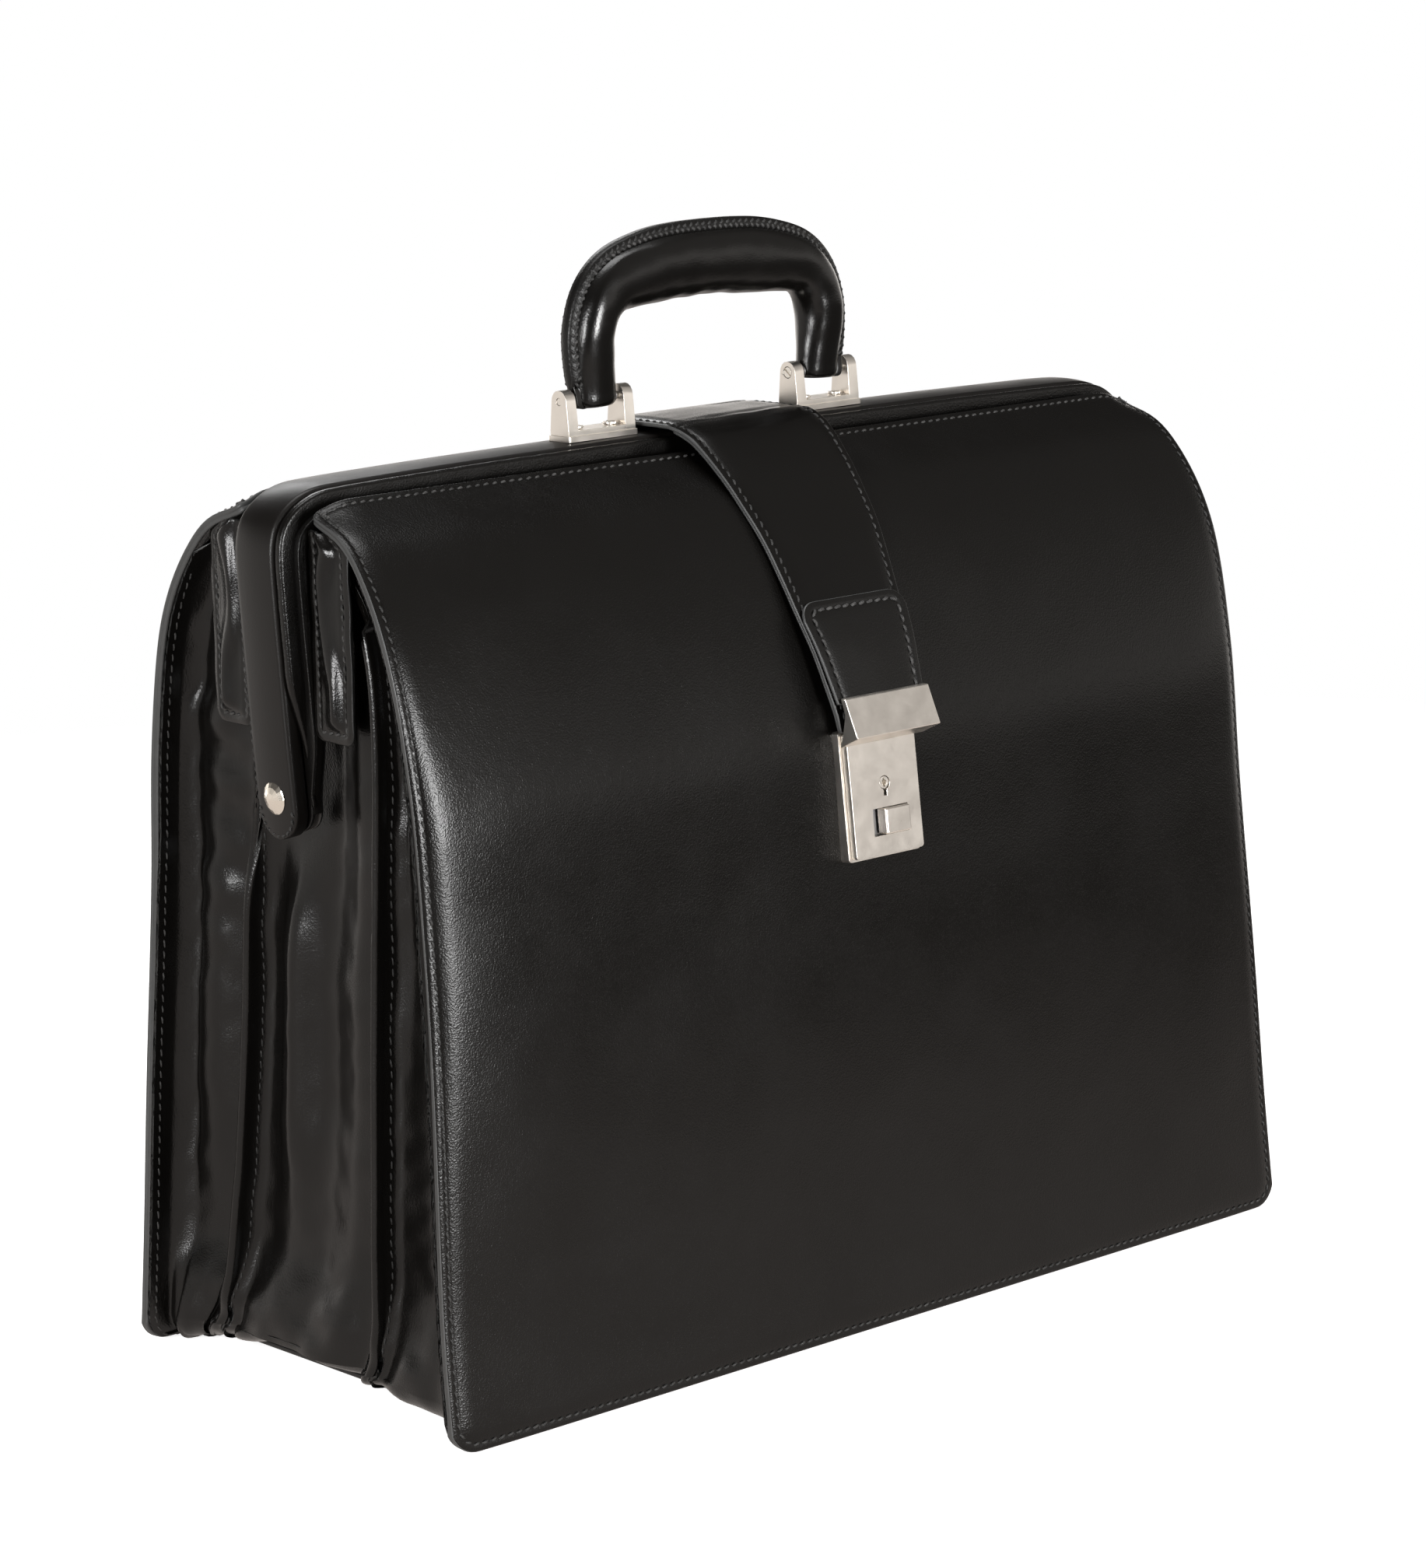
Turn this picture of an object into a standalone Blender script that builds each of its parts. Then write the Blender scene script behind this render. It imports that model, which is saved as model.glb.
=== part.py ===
"""Framed leather doctor bag (three-compartment lawyer's briefcase).

Metres, +Z up.  The origin is the centre of the underside, +X (the right) runs along the bag's
length and the front (lock side) faces -Y.  Every separate piece of the bag is one named object.
Pieces that move hang from a pivot empty.
"""

import math

import bpy
import bmesh
import numpy as np
from mathutils import Matrix, Vector

# ------------------------------------------------------------------------- shared dimensions
LENGTH = 0.430                 # across the bottom corners
GAP = 0.0003                   # between pieces that touch
SEAM_HALF_LEN = 0.1880         # half length of the dividers and of the strips along the top

# half depth and height of a panel's outer face, from the bottom edge over the shoulder to the top
PANEL_PROFILE = [
    (0.0944, 0.0), (0.0900, 0.048), (0.0862, 0.113), (0.0811, 0.178),
    (0.0764, 0.234), (0.0666, 0.280), (0.0479, 0.311), (0.0222, 0.3294),
]
PANEL_TOP = PANEL_PROFILE[-1][1]
PANEL_T = 0.0034               # front and back panels: leather on board
PANEL_CORNER_R = 0.011
PANEL_BULGE = 0.0055           # how far the middle of a panel stands out from its rim
HALF_WIDTH_BOTTOM = LENGTH / 2
HALF_WIDTH_WAIST = 0.2095
HALF_WIDTH_TOP = 0.2056
WAIST_LOW_Z, WAIST_HIGH_Z = 0.200, 0.270    # between these heights the width is constant

# hinge axes along X: half depth and height
PANEL_HINGE = (0.0930, 0.0020)
SEAM_HINGE = (0.0220, 0.3250)
STRAP_HINGE = (-0.0168, 0.3389)             # y, z
PIN_Z = 0.3495                 # the handle's pins

# ------------------------------------------------------------------------------------- looks
LEATHER = dict(colour=(0.018, 0.017, 0.016), roughness=0.34, metallic=0.0)
GLOSS = dict(colour=(0.014, 0.013, 0.012), roughness=0.22, metallic=0.0)
LINING = dict(colour=(0.060, 0.050, 0.042), roughness=0.80, metallic=0.0)
BOARD = dict(colour=(0.200, 0.150, 0.100), roughness=0.90, metallic=0.0)
STEEL = dict(colour=(0.450, 0.450, 0.460), roughness=0.40, metallic=1.0)
NICKEL = dict(colour=(0.700, 0.660, 0.610), roughness=0.27, metallic=1.0)
BRIGHT = dict(colour=(0.780, 0.740, 0.690), roughness=0.10, metallic=1.0)

SIDES = ((-1, "left"), (1, "right"))        # sign along X


def material(name, colour, roughness, metallic):
    made = bpy.data.materials.new(name)
    made.use_nodes = True
    shader = next(n for n in made.node_tree.nodes if n.type == "BSDF_PRINCIPLED")
    shader.inputs["Base Color"].default_value = (*colour, 1.0)
    shader.inputs["Roughness"].default_value = roughness
    shader.inputs["Metallic"].default_value = metallic
    return made


# ------------------------------------------------------------------------ objects and pivots
PIVOTS = {}                    # name: (empty, position in the world)


def link(name, data):
    made = bpy.data.objects.new(name, data)
    bpy.context.scene.collection.objects.link(made)
    return made


def pivot(name, position, parent=None):
    """Adds an empty at a world position."""
    empty = link(name, None)
    position = Vector(position)
    empty.location = position
    if parent is not None:
        empty.parent, parent_position = PIVOTS[parent]
        empty.location = position - parent_position
    PIVOTS[name] = (empty, position)


def place(name, mesh, look, parent=None, sharp_degrees=35.0):
    """Adds a mesh made in world coordinates, with its origin on its parent pivot."""
    made = link(name, mesh)
    mesh.materials.clear()
    mesh.materials.append(material(name + "_mat", **look))
    mesh.shade_smooth()
    mesh.set_sharp_from_angle(angle=math.radians(sharp_degrees))
    if parent is not None:
        made.parent, position = PIVOTS[parent]
        mesh.transform(Matrix.Translation(-position))


# ------------------------------------------------------------------------------ mesh helpers
def closed_mesh(verts, faces):
    """Mesh with its faces turned outward."""
    mesh = bpy.data.meshes.new("m")
    mesh.from_pydata([tuple(v) for v in verts], [], faces)
    bm = bmesh.new()
    bm.from_mesh(mesh)
    bmesh.ops.recalc_face_normals(bm, faces=bm.faces)
    if bm.calc_volume(signed=True) < 0:
        bmesh.ops.reverse_faces(bm, faces=bm.faces)
    bm.to_mesh(mesh)
    bm.free()
    return mesh


def loft(rings, loop=False):
    """Skin of equal rings; the ends are capped, or joined when loop is set."""
    size, count = len(rings[0]), len(rings)
    verts = [point for ring in rings for point in ring]
    faces = []
    for i in range(count if loop else count - 1):
        near, far = i * size, ((i + 1) % count) * size
        for j in range(size):
            k = (j + 1) % size
            faces.append((near + j, near + k, far + k, far + j))
    if not loop:
        faces.append(tuple(range(size - 1, -1, -1)))
        faces.append(tuple((count - 1) * size + j for j in range(size)))
    return closed_mesh(verts, faces)


def tube(outer, inner):
    """Open-ended tube: rings along the outside, then back along the inside."""
    return loft(list(outer) + list(reversed(inner)), loop=True)


def sheet(outer, inner):
    """Closed sheet from two equal grids of points [row][column]."""
    rows, cols = len(outer), len(outer[0])
    verts = [p for row in outer for p in row] + [p for row in inner for p in row]
    under = rows * cols                     # index of the inner grid's first point
    faces = []
    for i in range(rows - 1):
        for j in range(cols - 1):
            first = i * cols + j
            quad = (first, first + 1, first + cols + 1, first + cols)
            faces.append(quad)
            faces.append(tuple(under + corner for corner in reversed(quad)))
    rim = [j for j in range(cols)]
    rim += [i * cols + cols - 1 for i in range(1, rows)]
    rim += [(rows - 1) * cols + j for j in range(cols - 2, -1, -1)]
    rim += [i * cols for i in range(rows - 2, 0, -1)]
    for here, there in zip(rim, rim[1:] + rim[:1]):
        faces.append((there, here, under + here, under + there))
    return closed_mesh(verts, faces)


def outline_at(outline, axis, at):
    """Lifts a 2-D outline to a place along an axis; it holds the other two axes, in order."""
    if axis == "x":
        return [(at, p, q) for p, q in outline]
    if axis == "y":
        return [(p, at, q) for p, q in outline]
    return [(p, q, at) for p, q in outline]


def prism(outline, axis, low, high):
    return loft([outline_at(outline, axis, low), outline_at(outline, axis, high)])


def box(x0, x1, y0, y1, z0, z1):
    return prism([(x0, y0), (x1, y0), (x1, y1), (x0, y1)], "z", z0, z1)


def circle(centre, radius, segments):
    angles = [2 * math.pi * k / segments for k in range(segments)]
    return [(centre[0] + radius * math.cos(a), centre[1] + radius * math.sin(a)) for a in angles]


def rod(axis, centre, radius, low, high, segments=16):
    return prism(circle(centre, radius, segments), axis, low, high)


def pipe(axis, centre, outer_r, inner_r, low, high, segments):
    outer, inner = [[outline_at(circle(centre, radius, segments), axis, at) for at in (low, high)]
                    for radius in (outer_r, inner_r)]
    return tube(outer, inner)


def turned(profile, segments):
    """Solid turned about Z from (radius, z) points; both end points lie on the axis."""
    verts = [(0, 0, profile[0][1])]
    for radius, z in profile[1:-1]:
        verts += outline_at(circle((0, 0), radius, segments), "z", z)
    verts.append((0, 0, profile[-1][1]))
    last = 1 + (len(profile) - 3) * segments
    faces = []
    for k in range(segments):
        following = (k + 1) % segments
        faces.append((0, 1 + k, 1 + following))
        for near in range(1, last, segments):
            far = near + segments
            faces.append((near + k, far + k, far + following, near + following))
        faces.append((last + k, len(verts) - 1, last + following))
    return closed_mesh(verts, faces)


def rounded(x0, x1, y0, y1, radius, segments):
    """Rectangle outline with rounded corners."""
    outline = []
    corners = ((x1 - radius, y1 - radius, 0), (x0 + radius, y1 - radius, 90),
               (x0 + radius, y0 + radius, 180), (x1 - radius, y0 + radius, 270))
    for centre_x, centre_y, start in corners:
        for k in range(segments + 1):
            angle = math.radians(start + 90.0 * k / segments)
            outline.append((centre_x + radius * math.cos(angle),
                            centre_y + radius * math.sin(angle)))
    return outline


def combine(mesh, others, operation):
    """Exact Boolean of a mesh with each of the others in turn, baked."""
    for other in others:
        target = link("target", mesh)
        tool = link("tool", other)
        boolean = target.modifiers.new("bool", "BOOLEAN")
        boolean.object = tool
        boolean.operation = operation
        boolean.solver = "EXACT"
        bpy.context.view_layer.update()
        depsgraph = bpy.context.evaluated_depsgraph_get()
        mesh = bpy.data.meshes.new_from_object(target.evaluated_get(depsgraph))
        bpy.data.objects.remove(target, do_unlink=True)
        bpy.data.objects.remove(tool, do_unlink=True)
        bm = bmesh.new()
        bm.from_mesh(mesh)
        bmesh.ops.remove_doubles(bm, verts=bm.verts, dist=0.000004)
        bmesh.ops.dissolve_degenerate(bm, dist=0.000002, edges=bm.edges)
        bm.to_mesh(mesh)
        bm.free()
    return mesh


def cut(mesh, *others):
    return combine(mesh, others, "DIFFERENCE")


def union(mesh, *others):
    return combine(mesh, others, "UNION")


def bevelled(mesh, width):
    """Chamfers every edge sharper than 30 degrees."""
    bm = bmesh.new()
    bm.from_mesh(mesh)
    edges = [e for e in bm.edges
             if len(e.link_faces) == 2 and e.calc_face_angle(0.0) > math.radians(30.0)]
    bmesh.ops.bevel(bm, geom=edges, offset=width, segments=1, affect="EDGES", profile=0.5,
                    clamp_overlap=True)
    bm.to_mesh(mesh)
    bm.free()
    return mesh


def mirrored_x(mesh):
    mesh.transform(Matrix.Scale(-1, 4, (1, 0, 0)))
    mesh.flip_normals()
    return mesh


# ----------------------------------------------------------------------------- curve helpers
def lengths_along(line):
    steps = np.linalg.norm(np.diff(line, axis=0), axis=1)
    return np.concatenate([[0], np.cumsum(steps)])


def sample(at, stations, points):
    """Interpolates 2-D points, known at the stations, at one place or many."""
    return np.stack([np.interp(at, stations, points[:, k]) for k in range(2)], axis=-1)


def spline(points, count):
    """Catmull-Rom through the points, resampled evenly by length."""
    known = np.array(points, float)
    known = np.vstack([2 * known[0] - known[1], known, 2 * known[-1] - known[-2]])
    fine = []
    for i in range(1, len(known) - 2):
        a, b, c, d = known[i - 1:i + 3]
        for t in np.linspace(0, 1, 24, endpoint=False):
            fine.append(0.5 * (2 * b + (c - a) * t + (2 * a - 5 * b + 4 * c - d) * t * t
                               + (3 * b - a - 3 * c + d) * t ** 3))
    fine.append(known[-2])
    fine = np.array(fine)
    lengths = lengths_along(fine)
    return sample(np.linspace(0, lengths[-1], count), lengths, fine)


def normals(line):
    """Left-hand normals of a 2-D line."""
    tangent = np.gradient(line, axis=0)
    tangent /= np.linalg.norm(tangent, axis=1)[:, None]
    return np.stack([-tangent[:, 1], tangent[:, 0]], 1)


def smooth(t):
    """Eased step from 0 to 1."""
    t = min(max(t, 0.0), 1.0)
    return t * t * (3 - 2 * t)


def blend(start, end, t):
    return start * (1 - t) + end * t


# --------------------------------------------------------------------------- the bag's shape
OUTER_FINE = spline(PANEL_PROFILE, 200)
INNER_FINE = OUTER_FINE - np.abs(normals(OUTER_FINE)) * PANEL_T


def outer_y(z):
    """Half depth of a panel's outer face at its rim."""
    return float(np.interp(z, OUTER_FINE[:, 1], OUTER_FINE[:, 0]))


def inner_y(z):
    """Half depth of a panel's inner face at its rim."""
    return float(np.interp(z, INNER_FINE[:, 1], INNER_FINE[:, 0]))


def half_width(z):
    above_waist = max(z - WAIST_HIGH_Z, 0.0) / (PANEL_TOP - WAIST_HIGH_Z)
    return (HALF_WIDTH_BOTTOM
            + (HALF_WIDTH_WAIST - HALF_WIDTH_BOTTOM) * smooth(z / WAIST_LOW_Z)
            + (HALF_WIDTH_TOP - HALF_WIDTH_WAIST) * above_waist ** 2)


def bulge(from_side, z):
    """How far a panel stands out, from_side being the distance to its nearest side edge."""
    across = 1 - (1 - min(from_side / 0.055, 1.0)) ** 2.5
    up = smooth((0.288 - z) / 0.075) * (0.30 + 0.70 * smooth(z / 0.070))
    return PANEL_BULGE * across * up


# -------------------------------------------------------------------------------- the panels
# columns of a panel's grid, as shares of its half width, from the middle to one side
PANEL_COLUMNS = [0.0, 0.25, 0.55, 0.80, 0.90, 0.962, 0.982, 0.993, 1.0]
PANEL_ROWS = 17
PANEL_TOP_LEAN = 0.0003        # how far the inner top edge lies outward of the outer one


def panel_mesh(side):
    """side = -1 front, +1 back."""
    line = spline(PANEL_PROFILE, PANEL_ROWS)
    outward = -normals(line)
    columns = [-u for u in PANEL_COLUMNS[:0:-1]] + PANEL_COLUMNS
    outer, inner = [], []
    for i in range(PANEL_ROWS):
        outer_row, inner_row = [], []
        width = half_width(line[i][1])
        for u in columns:
            x = u * width
            from_side = HALF_WIDTH_BOTTOM - abs(u) * HALF_WIDTH_BOTTOM
            into_corner = max(PANEL_CORNER_R - from_side, 0)
            lift = PANEL_CORNER_R - math.sqrt(PANEL_CORNER_R ** 2 - into_corner ** 2)
            rim = line[i].copy()
            if lift > 0:               # squeezed upward over the rounded bottom corner
                rim[1] = lift + rim[1] * (1 - lift / PANEL_TOP)
                if rim[1] < 0.30:
                    rim[0] = outer_y(rim[1])
            face = rim + outward[i] * bulge(width - abs(x), rim[1])
            back = face - outward[i] * PANEL_T
            if i == 0:
                back[1] = face[1]
            if i == PANEL_ROWS - 1:
                back = face + np.array([PANEL_TOP_LEAN, -PANEL_T])
            outer_row.append((x, side * face[0], face[1]))
            inner_row.append((x, side * back[0], back[1]))
        outer.append(outer_row)
        inner.append(inner_row)
    return sheet(outer, inner)


def build_panels():
    front = cut(panel_mesh(-1), *screw_holes(0.0016, -0.022))
    place("front_panel", front, LEATHER, "pivot_front_panel")
    place("back_panel", panel_mesh(1), LEATHER, "pivot_back_panel")


# ----------------------------------------------------------------- base, gussets and dividers
# name, half length, half depth, z from, z to, look
BASE_LAYERS = [
    ("bottom_leather", 0.2115, 0.0895, 0.0, 0.0025, LEATHER),
    ("bottom_board", 0.1885, 0.0835, 0.0028, 0.0056, BOARD),
]
BASE_CORNER_R = 0.008

# divider and gusset crease: y at z = 0, and slope with height
CREASE_FRONT = (-0.0294, -0.095)
CREASE_REAR = (0.0640, -0.170)

GUSSET_T = 0.0020
GUSSET_ROWS = [0.0029, 0.020, 0.050, 0.090, 0.130, 0.160, 0.176,
               0.190, 0.204, 0.225, 0.250, 0.275, 0.300]
TUCK_Z = 0.176                 # the tuck behind the frame's arms starts here
GUSSET_CREASE_DEPTHS = [0.0, 0.0055, 0.0060, 0.0]   # front rim, front and rear crease, back rim
GUSSET_VALLEY_DEPTHS = [0.0085, 0.0150, 0.0090]     # extra depth between those four

DIVIDER_Z = (0.0060, 0.236)
DIVIDER_T = 0.0022


def build_base():
    for name, half_len, half_depth, low, high, look in BASE_LAYERS:
        outline = rounded(-half_len, half_len, -half_depth, half_depth, BASE_CORNER_R, 3)
        place(name, prism(outline, "z", low, high), look)


def crease_y(crease, z):
    return crease[0] + crease[1] * z


def gusset_x(y, z):
    """Outer face of the side gusset: two pinched creases between soft valleys."""
    rim = inner_y(z) - 0.0004
    marks = [-rim, crease_y(CREASE_FRONT, z), crease_y(CREASE_REAR, z), rim]
    depth = 0.0
    for k in range(3):
        if marks[k] <= y <= marks[k + 1]:
            t = (y - marks[k]) / max(marks[k + 1] - marks[k], 1e-6)
            depth = (blend(GUSSET_CREASE_DEPTHS[k], GUSSET_CREASE_DEPTHS[k + 1], t)
                     + GUSSET_VALLEY_DEPTHS[k] * math.sin(math.pi * t) ** 0.7)
    x = half_width(z) - 0.0008 - depth
    # the top of the side is tucked in behind the frame's arms and the corner facings
    tucked_x = 0.1915 + 0.0110 * smooth((abs(y) - 0.014) / 0.026)
    return blend(x, min(x, tucked_x), smooth((z - TUCK_Z) / 0.026))


def gusset_mesh(side):
    outer, inner = [], []
    for z in GUSSET_ROWS:
        rim = inner_y(z) - 0.0006
        front, rear = crease_y(CREASE_FRONT, z), crease_y(CREASE_REAR, z)
        if z > TUCK_Z:
            front = max(front, -rim * 0.80)
        ys = [-rim, blend(-rim, front, 0.4), blend(-rim, front, 0.75),
              front, blend(front, rear, 0.25), blend(front, rear, 0.5), blend(front, rear, 0.75),
              rear, blend(rear, rim, 0.4), blend(rear, rim, 0.75), rim]
        outer.append([(side * gusset_x(y, z), y, z) for y in ys])
        inner.append([(side * (gusset_x(y, z) - GUSSET_T), y, z) for y in ys])
    return sheet(outer, inner)


def divider_mesh(crease):
    rings = []
    for z in DIVIDER_Z:
        front = crease_y(crease, z) - DIVIDER_T / 2
        back = crease_y(crease, z) + DIVIDER_T / 2
        rings.append([(-SEAM_HALF_LEN, front, z), (SEAM_HALF_LEN, front, z),
                      (SEAM_HALF_LEN, back, z), (-SEAM_HALF_LEN, back, z)])
    return loft(rings)


def build_sides():
    for side, tag in SIDES:
        place("gusset_" + tag, gusset_mesh(side), GLOSS)
    place("divider_front", divider_mesh(CREASE_FRONT), LINING)
    place("divider_rear", divider_mesh(CREASE_REAR), LINING)


# --------------------------------------------------------------------------------- the frame
# outer line of the leather covered band, half of it, (x, z), from the middle to the arm's end
BAND_LINE = [
    (0.0, 0.3345), (0.060, 0.3344), (0.120, 0.3340), (0.165, 0.3333),
    (0.1850, 0.3328), (0.1945, 0.3322), (0.2018, 0.3302), (0.2080, 0.3265),
    (0.2127, 0.3218), (0.2150, 0.3160), (0.2158, 0.3085), (0.2150, 0.2900),
    (0.2135, 0.2660), (0.2118, 0.2400), (0.2102, 0.2180), (0.2095, 0.2068),
]
BAND_HALF = 0.0105             # half its depth along Y
BAND_STEEL_HALF = 0.0070

# layers from the outside in: thickness, and depth of the outer face below the band's line
COVER_T = 0.0020
BAND_STEEL_T = 0.0020
BAND_LINING_T = 0.0016
FRONT_COVER_T = 0.0015
FRONT_STEEL_T = 0.0018
FRONT_LINING_T = 0.0012
BAND_STEEL_DEPTH = COVER_T + GAP
BAND_LINING_DEPTH = BAND_STEEL_DEPTH + BAND_STEEL_T + GAP
FRONT_COVER_DEPTH = BAND_LINING_DEPTH + BAND_LINING_T + 0.0008
FRONT_STEEL_DEPTH = FRONT_COVER_DEPTH + FRONT_COVER_T + GAP
FRONT_LINING_DEPTH = FRONT_STEEL_DEPTH + FRONT_STEEL_T + GAP
FRAME_DEPTH = FRONT_LINING_DEPTH + FRONT_LINING_T

RIVET_Z = 0.222
RIVET_HOLE_R = 0.0021
RIVET_OPEN_HOLE_R = 0.0049     # the wider holes in the front frame's arms
RIVET_SHANK_R = 0.0016
RIVET_HEAD_R = 0.0060
RIVET_LIFT = 0.0003            # of the whole rivet off the band's face
RIVET_TAIL = -(FRAME_DEPTH + 0.0024)
# (radius, height above the band's face before the lift), from the dome to the tail
RIVET_PROFILE = [
    (0.0, 0.0023), (0.0022, 0.0021), (0.0042, 0.0014), (0.0056, 0.0006),
    (RIVET_HEAD_R, 0.0003), (RIVET_HEAD_R - 0.0002, 0.0002),
    (RIVET_SHANK_R, 0.0002), (RIVET_SHANK_R, RIVET_TAIL - 0.0004),
    (0.0030, RIVET_TAIL - 0.0006), (0.0028, RIVET_TAIL - 0.0011), (0.0, RIVET_TAIL - 0.0012),
]
WASHER_R = 0.0054
WASHER_HOLE_R = 0.00205
WASHER_T = 0.0011
WASHER_TOP = -(FRAME_DEPTH + 0.0009)

BRACKET_X = 0.0575             # middle of a handle bracket
STUD_OFFSET = 0.008            # bracket studs to either side of the bracket's middle
BAND_STUD_HOLE_R = 0.0019

# strips along the top, (y, z) outlines
SEAM_STRIPS = {
    "front": [(-0.0213, 0.3238), (-0.0213, 0.3224), (-0.0176, 0.3216), (-0.0176, 0.3230)],
    "back": [(0.0213, 0.3258), (0.0213, 0.3240), (0.0113, 0.3290), (0.0113, 0.3308)],
}

# corner facing stations: z, share of the full depth
FACING_STATIONS = [
    (0.2445, 0.72), (0.2462, 0.92), (0.2500, 1.0), (0.2600, 1.0), (0.2750, 1.0),
    (0.2900, 1.0), (0.3050, 1.0), (0.3140, 1.0), (0.3190, 1.0),
]
FACING_Y = (0.0186, 0.0398)    # half depths of its two edges
FACING_X_INNER, FACING_X_EDGE, FACING_X_RIDGE = 0.2044, 0.2072, 0.2088


def frame_line():
    """The whole band line from left to right, and its outward normals."""
    half = spline(BAND_LINE, 19)
    line = np.vstack([half[::-1] * np.array([-1, 1]), half[1:]])
    return line, normals(line)


FRAME_LINE, FRAME_NORMAL = frame_line()
FRAME_S = lengths_along(FRAME_LINE)


def frame_layer(depth, thickness, y_range, end_cut, end_radius):
    """One layer of the frame, y_range(z) giving its front and back edges.

    The layer stops end_cut short of the line's ends, and its ends are rounded."""
    first, last = end_cut, FRAME_S[-1] - end_cut
    margin = end_radius * 0.95
    stations = [s for s in FRAME_S if first + margin < s < last - margin]
    for share in (0.0, 0.12, 0.38, 0.75):
        stations += [first + share * end_radius, last - share * end_radius]
    rings = []
    for s in sorted(stations):
        point = sample(s, FRAME_S, FRAME_LINE)
        normal = sample(s, FRAME_S, FRAME_NORMAL)
        normal /= np.linalg.norm(normal)
        y0, y1 = y_range(point[1])
        from_end = min(min(s - first, last - s) / end_radius, 1.0)
        fill = max(math.sqrt(1 - (1 - from_end) ** 2), 0.30)
        middle, half = (y0 + y1) / 2, (y1 - y0) / 2 * fill
        y0, y1 = middle - half, middle + half
        top, under = point - normal * depth, point - normal * (depth + thickness)
        rings.append([(top[0], y0, top[1]), (top[0], y1, top[1]),
                      (under[0], y1, under[1]), (under[0], y0, under[1])])
    return loft(rings)


def along_rivet(side, mesh):
    """Moves a mesh made about +Z (z = 0 on the band's face) onto a rivet's axis."""
    half = spline(BAND_LINE, 400)
    off_arm = (half[:, 0] < 0.15) * 9      # keeps the search on the arm
    nearest = int(np.argmin(np.abs(half[:, 1] - RIVET_Z) + off_arm))
    normal_x, normal_z = normals(half)[nearest]
    point = Vector((side * half[nearest][0], 0, RIVET_Z))
    outward = Vector((side * normal_x, 0, normal_z)).normalized()
    turn = outward.to_track_quat("Z", "Y").to_matrix().to_4x4()
    mesh.transform(Matrix.Translation(point) @ turn)
    return mesh


def rivet_holes(mesh, radius):
    return cut(mesh, *[along_rivet(side, rod("z", (0, 0), radius, -0.030, 0.010))
                       for side in (-1, 1)])


def stud_holes(mesh):
    return cut(mesh, *[rod("z", (side * (BRACKET_X + offset), 0), BAND_STUD_HOLE_R,
                           0.318, 0.345, 12)
                       for side in (-1, 1) for offset in (-STUD_OFFSET, STUD_OFFSET)])


def band_y(z):
    return -BAND_HALF, BAND_HALF


def band_steel_y(z):
    return -BAND_STEEL_HALF, BAND_STEEL_HALF


def band_lining_y(z):
    """The lining widens backward on the arms."""
    return -BAND_HALF, BAND_HALF + 0.0035 * smooth((0.30 - z) / 0.03)


def front_y(z):
    """The front arms lie forward of the band and run back to the rivet at their lower ends."""
    return (-0.0172 + 0.0057 * smooth((0.246 - z) / 0.030),
            -0.0020 + 0.0100 * smooth((0.262 - z) / 0.026))


def front_steel_y(z):
    front, back = front_y(z)
    return front + 0.0018, back - 0.0010


# name, depth, thickness, y range, end cut, end radius, look
BAND_LAYERS = [
    ("band_cover", 0.0, COVER_T, band_y, 0.0, BAND_HALF, LEATHER),
    ("back_frame_steel", BAND_STEEL_DEPTH, BAND_STEEL_T, band_steel_y, 0.006, BAND_STEEL_HALF,
     STEEL),
    ("band_lining", BAND_LINING_DEPTH, BAND_LINING_T, band_lining_y, 0.0, 0.0100, LEATHER),
]
FRONT_LAYERS = [
    ("front_frame_cover", FRONT_COVER_DEPTH, FRONT_COVER_T, front_y, 0.0015, 0.009, GLOSS),
    ("front_frame_steel", FRONT_STEEL_DEPTH, FRONT_STEEL_T, front_steel_y, 0.0065, 0.006, STEEL),
    ("front_frame_lining", FRONT_LINING_DEPTH, FRONT_LINING_T, front_y, 0.0015, 0.009, LINING),
]


def build_frame():
    for name, *shape, look in BAND_LAYERS:
        mesh = stud_holes(rivet_holes(frame_layer(*shape), RIVET_HOLE_R))
        place(name, mesh, look, "pivot_back_frame")
    for name, *shape, look in FRONT_LAYERS:
        mesh = rivet_holes(frame_layer(*shape), RIVET_OPEN_HOLE_R)
        place(name, mesh, look, "pivot_front_frame")
    for tag, outline in SEAM_STRIPS.items():
        mesh = prism(outline, "x", -SEAM_HALF_LEN, SEAM_HALF_LEN)
        place("top_seam_strip_" + tag, mesh, GLOSS, "pivot_%s_frame" % tag)


def build_rivets():
    """Rivets near the ends of the frame's arms, with washers on the inside."""
    profile = [(radius, z + RIVET_LIFT) for radius, z in RIVET_PROFILE]
    for side, tag in SIDES:
        place("rivet_" + tag, along_rivet(side, turned(profile, 20)), BRIGHT, "pivot_back_frame")
        washer = pipe("z", (0, 0), WASHER_R, WASHER_HOLE_R, WASHER_TOP - WASHER_T, WASHER_TOP, 16)
        place("rivet_washer_" + tag, along_rivet(side, washer), STEEL, "pivot_back_frame")


def facing_mesh(side_x, side_y):
    rings = []
    for z, share in FACING_STATIONS:
        near = FACING_Y[0] + 0.0016 * smooth((z - 0.300) / 0.02)
        far = min(FACING_Y[1], inner_y(z) - 0.0010)
        middle, half = (near + far) / 2, (far - near) / 2 * share
        section = [(FACING_X_INNER, middle - half), (FACING_X_EDGE, middle - half),
                   (FACING_X_RIDGE, middle),
                   (FACING_X_EDGE, middle + half), (FACING_X_INNER, middle + half)]
        rings.append([(side_x * x, side_y * y, z) for x, y in section])
    return loft(rings)


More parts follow.
